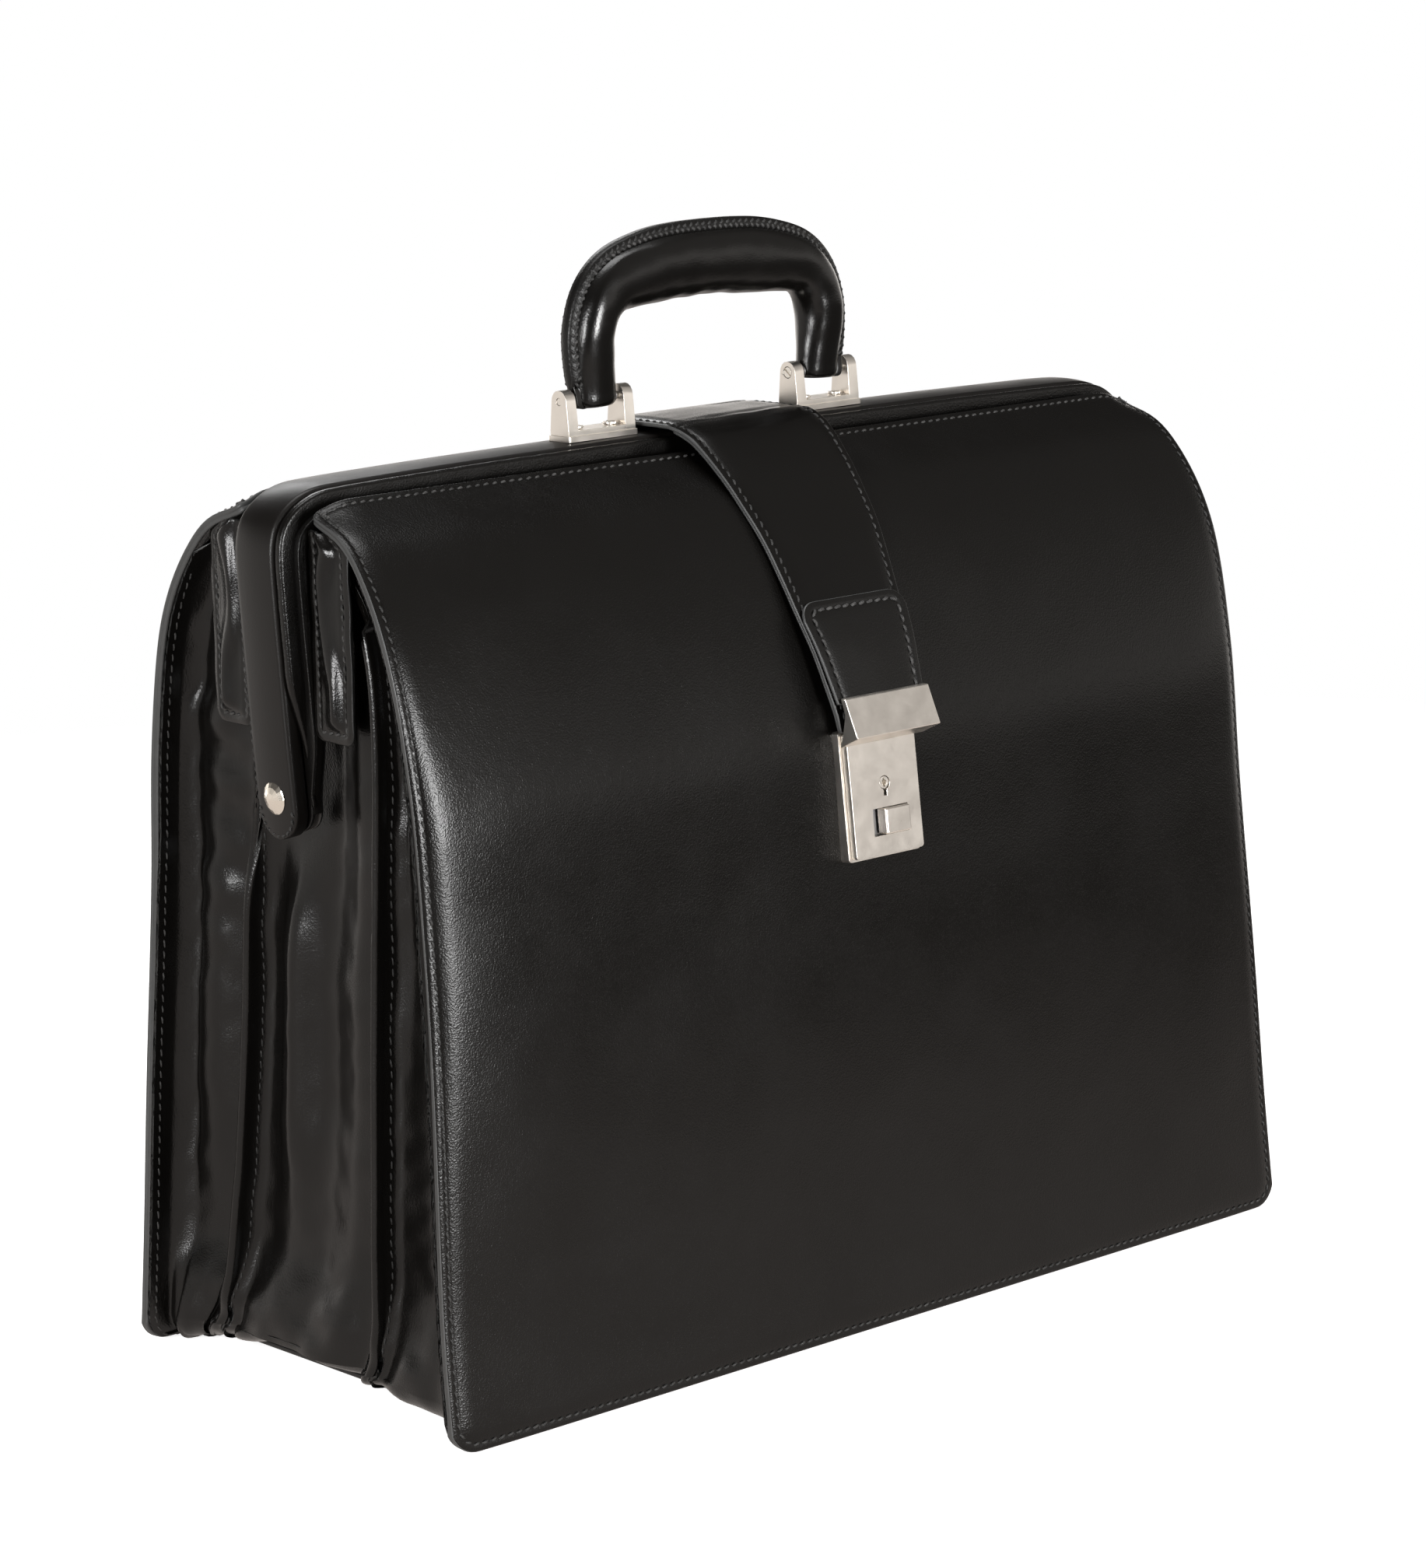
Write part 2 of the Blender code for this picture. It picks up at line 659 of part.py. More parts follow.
def build_corner_facings():
    """Leather pieces that run down from each top corner of the panels."""
    for side_y, face in ((-1, "front"), (1, "back")):
        for side_x, tag in SIDES:
            place("corner_facing_%s_%s" % (face, tag), facing_mesh(side_x, side_y), GLOSS,
                  "pivot_%s_panel" % face)


# -------------------------------------------------------------------- handle and its brackets
BRACKET_LEN = 0.0326
BRACKET_INNER = BRACKET_X - BRACKET_LEN / 2
BRACKET_OUTER = BRACKET_X + BRACKET_LEN / 2
FLANGE_LEN = 0.0340
FLANGE_DEPTH = 0.0124
FLANGE_Z = (0.3348, 0.3369)
EAR_T = 0.0049
EAR_TOP = 0.3537
EAR_BASE = 0.3368
EAR_HALF_BASE = 0.0052
EAR_R = 0.0042                 # rounded top
OPENING_Z = (0.3388, 0.37)     # the space between a bracket's ears
OPENING_FLARE = 0.0006         # how much wider it is at the top, at either ear
BRACKET_STUD_HOLE_R = 0.0017

STUD_SHANK = (0.0014, 0.3281, 0.3395)      # radius, z from, z to
STUD_HEAD = (0.0026, 0.3391, 0.3400)

PIN_R = 0.00135
PIN_HEAD_R = 0.0021
PIN_HOLE_R = 0.00145
PIN_HEAD_HOLE_R = 0.0023
# pin head slot, (y, z from the pin's axis)
PIN_SLOT = [(-0.0030, -0.0020), (-0.0026, -0.0025), (0.0030, 0.0020), (0.0026, 0.0025)]
BARREL_R = 0.0026
BARREL_HALF_LEN = 0.0098
COVER_PIN_HOLE_R = 0.0029

# centre line of the handle, (x, z), from its right end to the crown
HANDLE_LINE = [
    (0.0575, 0.3464), (0.0578, 0.3540), (0.0588, 0.3640), (0.0588, 0.3745), (0.0547, 0.3850),
    (0.0460, 0.3920), (0.0320, 0.3952), (0.0150, 0.3967), (0.0, 0.3970),
]
CORE_END_Z = 0.3526
CORE_RING_MIN_Z = 0.3560       # core rings below this give way to the flat end


def bracket_mesh():
    """The right-hand bracket: two ears on a flange."""
    inner, outer = BRACKET_INNER, BRACKET_OUTER
    ear = [(-EAR_HALF_BASE, EAR_BASE), (-EAR_HALF_BASE, EAR_BASE + 0.002)]
    for k in range(9):
        angle = math.pi - math.pi * k / 8
        ear.append((EAR_R * math.cos(angle), EAR_TOP - EAR_R + EAR_R * math.sin(angle)))
    ear += [(EAR_HALF_BASE, EAR_BASE + 0.002), (EAR_HALF_BASE, EAR_BASE)]
    opening = [(inner + EAR_T, OPENING_Z[0]), (outer - EAR_T, OPENING_Z[0]),
               (outer - EAR_T + OPENING_FLARE, OPENING_Z[1]),
               (inner + EAR_T - OPENING_FLARE, OPENING_Z[1])]
    body = cut(prism(ear, "x", inner, outer), prism(opening, "y", -0.02, 0.02))
    flange = rounded(BRACKET_X - FLANGE_LEN / 2, BRACKET_X + FLANGE_LEN / 2,
                     -FLANGE_DEPTH / 2, FLANGE_DEPTH / 2, 0.0012, 2)
    body = union(body, prism(flange, "z", *FLANGE_Z))
    return cut(body,
               rod("x", (0, PIN_Z), PIN_HOLE_R, inner - 0.002, outer + 0.002),
               rod("x", (0, PIN_Z), PIN_HEAD_HOLE_R, inner - 0.002, inner + 0.0016),
               *[rod("z", (BRACKET_X + offset, 0), BRACKET_STUD_HOLE_R, 0.33, 0.345, 12)
                 for offset in (-STUD_OFFSET, STUD_OFFSET)])


def pin_mesh():
    """The right-hand pin, with its slotted head in the inner ear."""
    pin = union(
        rod("x", (0, PIN_Z), PIN_R, BRACKET_INNER + 0.0006, BRACKET_OUTER - 0.0002, 20),
        rod("x", (0, PIN_Z), PIN_HEAD_R, BRACKET_INNER + 0.0001, BRACKET_INNER + 0.0013, 20))
    slot = [(y, PIN_Z + z) for y, z in PIN_SLOT]
    return cut(pin, prism(slot, "x", BRACKET_INNER - 0.001, BRACKET_INNER + 0.0007))


def build_brackets():
    for side, tag in SIDES:
        bracket, pin = bracket_mesh(), pin_mesh()
        if side < 0:
            bracket, pin = mirrored_x(bracket), mirrored_x(pin)
        place("handle_bracket_" + tag, bracket, NICKEL, "pivot_back_frame")
        place("handle_pin_" + tag, pin, NICKEL, "pivot_back_frame")
        for offset, where in ((-STUD_OFFSET, "inner"), (STUD_OFFSET, "outer")):
            centre = (side * (BRACKET_X + offset), 0)
            stud = union(rod("z", centre, *STUD_SHANK, 12), rod("z", centre, *STUD_HEAD, 12))
            place("bracket_stud_%s_%s" % (tag, where), stud, NICKEL, "pivot_back_frame")
        # barrel that turns on the pin, at the end of the handle's core
        barrel = pipe("x", (0, PIN_Z), BARREL_R, PIN_HOLE_R, side * (BRACKET_X - BARREL_HALF_LEN),
                      side * (BRACKET_X + BARREL_HALF_LEN), 20)
        place("handle_barrel_" + tag, barrel, STEEL, "pivot_handle")


def handle_rings(inset, end_inset, extra_inset, squareness, segments, level_ends):
    """Sections of the handle from its left end to its right end.

    inset: taken off the half width; end_inset: off the half thickness, growing by extra_inset
    away from the ends; squareness: exponent of the rounded section, 1 being an ellipse;
    level_ends: whether the end sections lie level."""
    half_line = spline(HANDLE_LINE, 15)
    line = np.vstack([half_line * np.array([-1, 1]), half_line[::-1][1:]])
    outward = normals(line)
    if level_ends:
        outward[0], outward[-1] = (-1.0, 0.0), (1.0, 0.0)
    last = len(line) - 1
    rings = []
    for i in range(last + 1):
        t = min(i, last - i) / (last / 2)          # 0 at an end, 1 at the crown
        rise = smooth(t / 0.22)
        half_w = 0.0096 + 0.0012 * rise + 0.0034 * smooth((t - 0.3) / 0.5) - inset
        half_t = 0.0043 + 0.0049 * rise - end_inset - extra_inset * rise    # along Y
        ring = []
        for k in range(segments):
            angle = 2 * math.pi * k / segments
            cos, sin = math.cos(angle), math.sin(angle)
            u = half_w * math.copysign(abs(cos) ** squareness, cos)
            y = half_t * math.copysign(abs(sin) ** squareness, sin)
            ring.append((line[i][0] + outward[i][0] * u, y, line[i][1] + outward[i][1] * u))
        rings.append(ring)
    return rings


def flattened(ring, level):
    return [(x, y, level) for x, y, z in ring]


def build_handle():
    skin = handle_rings(inset=0.0, end_inset=0.0, extra_inset=0.0, squareness=0.72, segments=14,
                        level_ends=True)
    cavity = handle_rings(inset=0.0022, end_inset=0.0014, extra_inset=0.0016, squareness=0.62,
                          segments=14, level_ends=False)
    for end in (0, -1):
        cavity[end] = flattened(cavity[end], HANDLE_LINE[0][1])
    cover = cut(tube(skin, cavity),
                rod("x", (0, PIN_Z), COVER_PIN_HOLE_R, -0.0690, -0.0475),
                rod("x", (0, PIN_Z), COVER_PIN_HOLE_R, 0.0475, 0.0690))
    place("handle_cover", cover, GLOSS, "pivot_handle", sharp_degrees=50)

    core = handle_rings(inset=0.0026, end_inset=0.0018, extra_inset=0.0016, squareness=0.62,
                        segments=12, level_ends=False)
    upper = [ring for ring in core if np.mean([p[2] for p in ring]) > CORE_RING_MIN_Z]
    core = [flattened(core[1], CORE_END_Z)] + upper + [flattened(core[-2], CORE_END_Z)]
    place("handle_core", loft(core), STEEL, "pivot_handle")


# --------------------------------------------------------------------------------- the strap
# outer face (y, z) from the hinge line over the front edge of the band to the hasp
STRAP_LINE = [
    (-0.0175, 0.3389), (-0.0240, 0.3370), (-0.0318, 0.3326), (-0.0432, 0.3222),
    (-0.0524, 0.3116), (-0.0620, 0.2990), (-0.0697, 0.2853), (-0.0762, 0.2726),
    (-0.0830, 0.2592), (-0.0888, 0.2440), (-0.0915, 0.2360), (-0.0927, 0.2300),
]
STRAP_HALF_TOP = 0.0360
STRAP_HALF_END = 0.0212
STRAP_T = 0.0016
STRAP_LINING_T = 0.0012
# strap over the top of the frame, (y, z) outline
STRAP_BRIDGE = [(-0.0162, 0.3353), (-0.0162, 0.3388), (0.0170, 0.3388), (0.0240, 0.3362),
                (0.0228, 0.3330), (0.0160, 0.3353)]
TAIL_OUTER, TAIL_INNER = 0.0034, 0.0004    # the tail's faces above the back panel

# hasp and the plate behind the strap's end, (y, z) outlines
HASP_HALF = 0.0213
HASP = [(-0.0948, 0.2422), (-0.1012, 0.2282), (-0.0916, 0.2236), (-0.0930, 0.2286),
        (-0.0944, 0.2360), (-0.0922, 0.2422)]
HASP_PLATE_HALF = 0.0170
HASP_PLATE = [(-0.0857, 0.2420), (-0.0886, 0.2301), (-0.0874, 0.2298), (-0.0845, 0.2417)]


def strap_row(half, point):
    return [(x, point[0], point[1]) for x in (-half, -half / 2, 0, half / 2, half)]


def strap_sheet(depth, thickness, start=0.0, end=1.0, rows=13, inset=0.0):
    """Layer of the strap, depth below its outer line, between two shares of its length."""
    line = spline(STRAP_LINE, 60)
    outward = -normals(line)
    stations = np.linspace(0, 1, 60)
    outer, inner = [], []
    for t in np.linspace(start, end, rows):
        point = sample(t, stations, line)
        normal = sample(t, stations, outward)
        half = blend(STRAP_HALF_TOP, STRAP_HALF_END, t) - inset
        outer.append(strap_row(half, point - normal * depth))
        inner.append(strap_row(half, point - normal * (depth + thickness)))
    return sheet(outer, inner)


def strap_tail_mesh():
    """The strap's tail, lying on the upper part of the back panel."""
    line = spline(PANEL_PROFILE, 60)[::-1]
    outward = normals(line)
    outer, inner = [], []
    for i in range(1, 22, 2):
        stand_out = bulge(0.2, line[i][1])
        outer.append(strap_row(STRAP_HALF_TOP, line[i] + outward[i] * (stand_out + TAIL_OUTER)))
        inner.append(strap_row(STRAP_HALF_TOP, line[i] + outward[i] * (stand_out + TAIL_INNER)))
    return sheet(outer, inner)


def build_strap():
    place("strap_flap", strap_sheet(0.0, STRAP_T), LEATHER, "pivot_strap")
    place("strap_flap_lining", strap_sheet(STRAP_T + GAP, STRAP_LINING_T), LINING, "pivot_strap")
    patch = strap_sheet(-0.0015, 0.0012, start=0.645, end=0.925, rows=5, inset=0.0008)
    place("strap_patch", patch, LEATHER, "pivot_strap")
    bridge = prism(STRAP_BRIDGE, "x", -STRAP_HALF_TOP, STRAP_HALF_TOP)
    place("strap_bridge", bridge, LEATHER, "pivot_back_frame")
    place("strap_tail", strap_tail_mesh(), LEATHER, "pivot_back_panel")


def build_hasp():
    hasp = bevelled(prism(HASP, "x", -HASP_HALF, HASP_HALF), 0.0003)
    place("hasp", hasp, NICKEL, "pivot_strap")
    plate = prism(HASP_PLATE, "x", -HASP_PLATE_HALF, HASP_PLATE_HALF)
    place("hasp_back_plate", plate, NICKEL, "pivot_strap")
    # hooked tongue that enters the lock
    tongue = union(*[lock_box(*part) for part in TONGUE_PARTS])
    place("hasp_tongue", tongue, STEEL, "pivot_strap")


# ---------------------------------------------------------------------------------- the lock
# in its own plane: a = along X, b = up the face, c = out of the face
LOCK_POS = (-0.0931, 0.2034)   # y, z of its origin
LOCK_TILT = math.radians(6.0)
LOCK_HALF = 0.0370 / 2
LOCK_LOW, LOCK_HIGH = -0.0232, 0.0256      # b
CASE_BACK, CASE_FRONT = -0.0078, -0.0031   # c
CASE_WALL = 0.003
FACE_BACK = CASE_FRONT + 0.0002
SCREW_A, SCREW_B = 0.0125, 0.0166

WINDOW_A = (-0.0073, 0.0107)   # button window
WINDOW_B = (-0.0150, -0.0047)
BUTTON_LEN = 0.0126
BUTTON_C = (-0.0034, 0.0017)
BUTTON_PIVOT = (WINDOW_A[1] - 0.0066, -0.0098, 0)
KEY_B = 0.0044                 # centre of the key cylinder
TONGUE_SLOT_HALF = 0.0075

# boxes: a from, to, b from, to, c from, to
TONGUE_PARTS = [
    (-0.0060, 0.0060, 0.0208, 0.0268, -0.0044, -0.0032),
    (-0.0060, 0.0060, 0.0206, 0.0220, -0.0059, -0.0032),
]
BOLT_PARTS = [
    (-0.0074, 0.0104, -0.0160, -0.0030, -0.0055, -0.0042),
    (-0.0104, -0.0044, -0.0160, 0.0138, -0.0055, -0.0042),
    (-0.0104, -0.0044, 0.0120, 0.0188, -0.0052, -0.0042),
]
FACE_TONGUE_SLOT = (-TONGUE_SLOT_HALF, TONGUE_SLOT_HALF, 0.0202, 0.0300, -0.005, 0.002)
FACE_KEY_SLOT = (-0.0008, 0.0008, -0.0005, 0.0030, -0.006, 0.002)
KEYWAY = (-0.0005, 0.0005, 0.0028, 0.0060, -0.0045, 0.001)
BACKING_PLATE = (-0.0180, 0.0180, -0.0160, 0.0212, -0.0138, -0.0128)

# screw: radius, c from, c to of the shank, of its front head and of its rear end
SCREW_PARTS = [
    (0.0012, -0.0150, -0.0058), (0.0024, -0.0062, -0.0054), (0.0026, -0.0154, -0.0141),
]

SPRING_START = (-0.0152, -0.0095, -0.0050)
SPRING_LEN = 0.0040
SPRING_TURNS = 6
SPRING_TURN_STEPS = 10
SPRING_R = 0.0011
SPRING_FLATTEN = 0.9           # the coil's depth along c against its height along b
SPRING_WIRE_R = 0.00028


def lock_matrix():
    """Lock plane to world."""
    matrix = Matrix.Identity(4)
    matrix.col[1] = (0, math.sin(LOCK_TILT), math.cos(LOCK_TILT), 0)
    matrix.col[2] = (0, -math.cos(LOCK_TILT), math.sin(LOCK_TILT), 0)
    matrix.col[3] = (0, *LOCK_POS, 1)
    return matrix


LOCK = lock_matrix()


def in_lock(mesh):
    mesh.transform(LOCK)
    return mesh


def lock_box(*bounds):
    return in_lock(box(*bounds))


def lock_rod(a, b, radius, back, front, segments):
    return in_lock(rod("z", (a, b), radius, back, front, segments))


def screw_holes(radius, back):
    return [lock_rod(side * SCREW_A, SCREW_B, radius, back, 0.0, 12) for side in (1, -1)]


def build_lock_housing():
    outline = rounded(-LOCK_HALF, LOCK_HALF, LOCK_LOW, LOCK_HIGH, 0.0015, 3)
    case = cut(in_lock(prism(outline, "z", CASE_BACK, CASE_FRONT)),
               lock_box(-LOCK_HALF + CASE_WALL, LOCK_HALF - CASE_WALL,
                        LOCK_LOW + CASE_WALL, LOCK_HIGH - 0.0062, CASE_BACK + 0.0013, 0.002),
               lock_box(-TONGUE_SLOT_HALF, TONGUE_SLOT_HALF,
                        LOCK_HIGH - 0.0075, LOCK_HIGH + 0.003, -0.0066, 0.002),
               *screw_holes(0.0014, -0.02))
    place("lock_case", case, NICKEL, "pivot_front_panel")

    outline = rounded(-LOCK_HALF + 0.0012, LOCK_HALF - 0.0012,
                      LOCK_LOW + 0.0010, LOCK_HIGH - 0.0010, 0.0012, 3)
    face = cut(in_lock(prism(outline, "z", FACE_BACK, 0.0)),
               lock_box(*WINDOW_A, *WINDOW_B, -0.005, 0.002),
               lock_box(*FACE_TONGUE_SLOT),
               lock_rod(0, KEY_B, 0.0026, -0.006, 0.002, 20),
               lock_box(*FACE_KEY_SLOT))
    place("lock_face_plate", face, NICKEL, "pivot_front_panel")

    # plate inside the panel and the two screws that hold the lock to it
    plate = cut(lock_box(*BACKING_PLATE), *screw_holes(0.0016, -0.022))
    place("lock_backing_plate", plate, STEEL, "pivot_front_panel")
    for side, tag in SIDES:
        screw = union(*[lock_rod(side * SCREW_A, SCREW_B, *part, 12) for part in SCREW_PARTS])
        place("lock_screw_" + tag, screw, STEEL, "pivot_front_panel")


def spring_mesh():
    """Coil wound along X."""
    steps = SPRING_TURNS * SPRING_TURN_STEPS
    rings = []
    for i in range(steps + 1):
        t = i / steps
        turn = 2 * math.pi * SPRING_TURNS * t
        centre = Vector(SPRING_START) + Vector((
            SPRING_LEN * t,
            SPRING_R * math.cos(turn),
            SPRING_R * SPRING_FLATTEN * math.sin(turn)))
        outward = Vector((0, math.cos(turn), math.sin(turn)))
        ring = []
        for k in range(5):
            angle = 2 * math.pi * k / 5
            spoke = outward * math.cos(angle) + Vector((1, 0, 0)) * math.sin(angle)
            ring.append(centre + spoke * SPRING_WIRE_R)
        rings.append(ring)
    return in_lock(loft(rings))


def build_lock_works():
    # push button and the bolt plate that it drives, sliding towards -X
    right = WINDOW_A[1] - GAP
    button = lock_box(right - BUTTON_LEN, right, WINDOW_B[0] + GAP, WINDOW_B[1] - GAP, *BUTTON_C)
    place("lock_button", bevelled(button, 0.0005), NICKEL, "pivot_lock_button")
    bolt = union(*[lock_box(*part) for part in BOLT_PARTS])
    place("lock_bolt", bolt, STEEL, "pivot_lock_button")
    # spring that returns the button, to the left of the bolt plate
    place("lock_spring", spring_mesh(), STEEL, "pivot_front_panel")

    cylinder = cut(lock_rod(0, KEY_B, 0.0023, -0.0062, -0.0003, 20),
                   lock_box(*KEYWAY),
                   lock_rod(0, KEY_B, 0.0011, -0.0045, 0.001, 12))
    place("key_cylinder", cylinder, STEEL, "pivot_key_cylinder")


# ---------------------------------------------------------------------------------- assembly
def build_pivots():
    for side, tag in ((-1, "front"), (1, "back")):
        panel = "pivot_%s_panel" % tag
        pivot(panel, (0, side * PANEL_HINGE[0], PANEL_HINGE[1]))
        pivot("pivot_%s_frame" % tag, (0, side * SEAM_HINGE[0], SEAM_HINGE[1]), panel)
    # these two stand off the handle's pins and the strap's hinge line by the back panel
    # hinge's own position
    hinge_y, hinge_z = PANEL_HINGE
    pivot("pivot_handle", (0, hinge_y, PIN_Z + hinge_z), "pivot_back_frame")
    pivot("pivot_strap", (0, STRAP_HINGE[0] + hinge_y, STRAP_HINGE[1] + hinge_z),
          "pivot_back_frame")
    pivot("pivot_lock_button", LOCK @ Vector(BUTTON_PIVOT), "pivot_front_panel")
    pivot("pivot_key_cylinder", LOCK @ Vector((0, KEY_B, 0)), "pivot_front_panel")


def main():
    for old in list(bpy.data.objects):
        bpy.data.objects.remove(old, do_unlink=True)
    build_pivots()
    build_panels()
    build_base()
    build_sides()
    build_frame()
    build_rivets()
    build_corner_facings()
    build_brackets()
    build_handle()
    build_strap()
    build_hasp()
    build_lock_housing()
    build_lock_works()
    bpy.context.view_layer.update()


main()
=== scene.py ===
"""Looks of a framed leather doctor bag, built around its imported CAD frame.

Metres, in the CAD's frame: origin under the middle of the bag, +X along its length, +Z up.
The front faces -Y; "left" pieces lie at -X and "right" pieces at +X.
"""

import math

import bmesh
import bpy
import numpy as np
from mathutils import Matrix, Vector

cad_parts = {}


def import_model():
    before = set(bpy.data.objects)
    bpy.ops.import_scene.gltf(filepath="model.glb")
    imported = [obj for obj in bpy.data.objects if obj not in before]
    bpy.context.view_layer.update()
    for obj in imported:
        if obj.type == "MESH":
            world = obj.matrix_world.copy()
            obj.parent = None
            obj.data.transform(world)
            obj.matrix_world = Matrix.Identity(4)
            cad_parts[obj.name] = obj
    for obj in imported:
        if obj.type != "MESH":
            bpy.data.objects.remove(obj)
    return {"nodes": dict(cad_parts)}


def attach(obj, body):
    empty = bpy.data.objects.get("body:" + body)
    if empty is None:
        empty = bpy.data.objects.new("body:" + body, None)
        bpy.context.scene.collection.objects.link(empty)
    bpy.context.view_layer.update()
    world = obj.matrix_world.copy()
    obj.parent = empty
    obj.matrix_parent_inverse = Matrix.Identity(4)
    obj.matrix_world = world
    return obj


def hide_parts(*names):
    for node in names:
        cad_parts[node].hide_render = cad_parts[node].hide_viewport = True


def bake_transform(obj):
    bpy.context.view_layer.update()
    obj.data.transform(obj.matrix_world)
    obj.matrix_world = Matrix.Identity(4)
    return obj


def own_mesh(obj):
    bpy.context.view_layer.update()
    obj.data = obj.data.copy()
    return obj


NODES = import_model()["nodes"]
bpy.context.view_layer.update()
ROOT = bpy.context.scene.collection

PANELS = ((-1, "front", "front_panel_body"), (1, "back", "back_panel_body"))
ENDS = ((-1, "left"), (1, "right"))


# ==================================================================================== small maths
def smooth(value):
    """Smoothstep: eases from 0 to 1 while the value runs from 0 to 1."""
    value = np.clip(value, 0.0, 1.0)
    return value * value * (3 - 2 * value)


def bell(value, centre, width):
    return np.exp(-((value - centre) / width) ** 2)


def unit(vectors):
    vectors = np.asarray(vectors, float)
    return vectors / np.maximum(np.linalg.norm(vectors, axis=-1, keepdims=True), 1e-12)


def corner_cut(radius, distance):
    """How far a rounded corner cuts back, at a distance in from the edge beside it."""
    left = np.maximum(radius - distance, 0)
    return radius - np.sqrt(np.maximum(radius * radius - left ** 2, 0))


def rounded_rim(first, second, radius):
    """Distance to the nearer of two square edges whose shared corner is rounded."""
    corner = radius - np.hypot(radius - first, radius - second)
    return np.where((first < radius) & (second < radius), corner, np.minimum(first, second))


def dense(points, per=24, loop=False):
    """Catmull-Rom through the points, `per` samples to a span."""
    points = np.array(points, float)
    if loop:
        padded = np.vstack([points[-1], points, points[0], points[1]])
    else:
        padded = np.vstack([2 * points[0] - points[1], points, 2 * points[-1] - points[-2]])
    t = np.linspace(0, 1, per, endpoint=False)[:, None]
    spans = []
    for a, b, c, d in zip(padded, padded[1:], padded[2:], padded[3:]):
        square = (2 * a - 5 * b + 4 * c - d) * t * t
        cube = (3 * b - a - 3 * c + d) * t ** 3
        spans.append(0.5 * (2 * b + (c - a) * t + square + cube))
    spans = np.vstack(spans)
    return spans if loop else np.vstack([spans, points[-1]])


def lengths(line):
    """Running length at each point of a line."""
    return np.concatenate([[0], np.cumsum(np.linalg.norm(np.diff(line, axis=0), axis=1))])


def at_length(line, where, running):
    return np.stack([np.interp(where, running, line[:, k]) for k in range(line.shape[1])], -1)


def spline(points, count):
    """A smooth line through the points, as `count` evenly spaced points."""
    fine = dense(points)
    running = lengths(fine)
    return at_length(fine, np.linspace(0, running[-1], count), running)


def left_normals(line):
    tangents = unit(np.gradient(line, axis=0))
    return np.stack([-tangents[:, 1], tangents[:, 0]], 1)


def spread(plane, across):
    """3D points from pairs in a plane, with the third coordinate put in the middle place."""
    return np.stack(np.broadcast_arrays(plane[..., 0], across, plane[..., 1]), -1)


def ring_at(point, normal, y, depth):
    """A section ring about an XZ point of a line; depth runs against the line's normal."""
    return spread(point - normal * depth[:, None], y)


def mirrored(half):
    """Columns from -half through 0 to half, given the falling half."""
    return np.concatenate([-half, half[::-1][1:]])


def columns(steps, half, count):
    """Columns across a strip: at `steps` in from each edge, then `count` even ones inwards."""
    inwards = np.concatenate([steps, np.linspace(steps[-1], half, count)[1:]])
    return mirrored(half - inwards)


def waves(points, length, seed, count=7):
    """Smooth wandering field in -1..1 about, from a few fixed sine waves."""
    rng = np.random.default_rng(seed)
    points = np.asarray(points, float)
    total = np.zeros(points.shape[:-1])
    for _ in range(count):
        wave = unit(rng.normal(size=3)) * (2 * math.pi / (length * rng.uniform(0.7, 1.6)))
        total += np.sin(points @ wave + rng.uniform(0, 2 * math.pi))
    return total / math.sqrt(count)


def grid_normals(points):
    """Unit normals of a grid of points [row][column]."""
    return unit(np.cross(np.gradient(points, axis=0), np.gradient(points, axis=1)))


# ======================================================================================= materials
class Graph:
    """Short ways to add shader nodes to a tree; an input takes a plain value or a socket."""

    def __init__(self, tree):
        self.tree = tree

    def node(self, kind, **settings):
        node = self.tree.nodes.new(kind)
        for key, value in settings.items():
            setattr(node, key, value)
        return node

    def put(self, socket, value):
        if isinstance(value, bpy.types.NodeSocket):
            self.tree.links.new(value, socket)
        else:
            socket.default_value = value

    def calc(self, operation, *values):
        node = self.node("ShaderNodeMath", operation=operation)
        for socket, value in zip(node.inputs, values):
            self.put(socket, value)
        return node.outputs[0]

    def coords(self):
        return self.node("ShaderNodeTexCoord").outputs["Object"]

    def scaled(self, vector, scale):
        node = self.node("ShaderNodeMapping")
        self.put(node.inputs["Vector"], vector)
        node.inputs["Scale"].default_value = scale
        return node.outputs[0]

    def noise(self, vector, scale, detail=3.0, rough=0.55, distort=0.0):
        node = self.node("ShaderNodeTexNoise")
        self.put(node.inputs["Vector"], vector)
        node.inputs["Scale"].default_value = scale
        node.inputs["Detail"].default_value = detail
        node.inputs["Roughness"].default_value = rough
        node.inputs["Distortion"].default_value = distort
        return node.outputs[0]

    def cells(self, vector, scale, smoothness):
        node = self.node("ShaderNodeTexVoronoi", feature="SMOOTH_F1")
        self.put(node.inputs["Vector"], vector)
        node.inputs["Scale"].default_value = scale
        node.inputs["Smoothness"].default_value = smoothness
        return node.outputs["Distance"]

    def remap(self, value, source, target=(0.0, 1.0)):
        """Map the source range onto the target range, held to its ends."""
        node = self.node("ShaderNodeMapRange")
        self.put(node.inputs["Value"], value)
        for k, limit in enumerate((*source, *target)):
            node.inputs[k + 1].default_value = limit
        return node.outputs[0]

    def mix(self, factor, first, second):
        node = self.node("ShaderNodeMix", data_type="RGBA")
        self.put(node.inputs[0], factor)
        for k, colour in ((6, first), (7, second)):
            self.put(node.inputs[k], (*colour, 1.0) if isinstance(colour, tuple) else colour)
        return node.outputs[2]

    def bump(self, height, distance):
        node = self.node("ShaderNodeBump")
        self.put(node.inputs["Height"], height)
        node.inputs["Distance"].default_value = distance
        node.inputs["Strength"].default_value = 1.0
        return node.outputs[0]

    def pointiness(self):
        return self.node("ShaderNodeNewGeometry").outputs["Pointiness"]


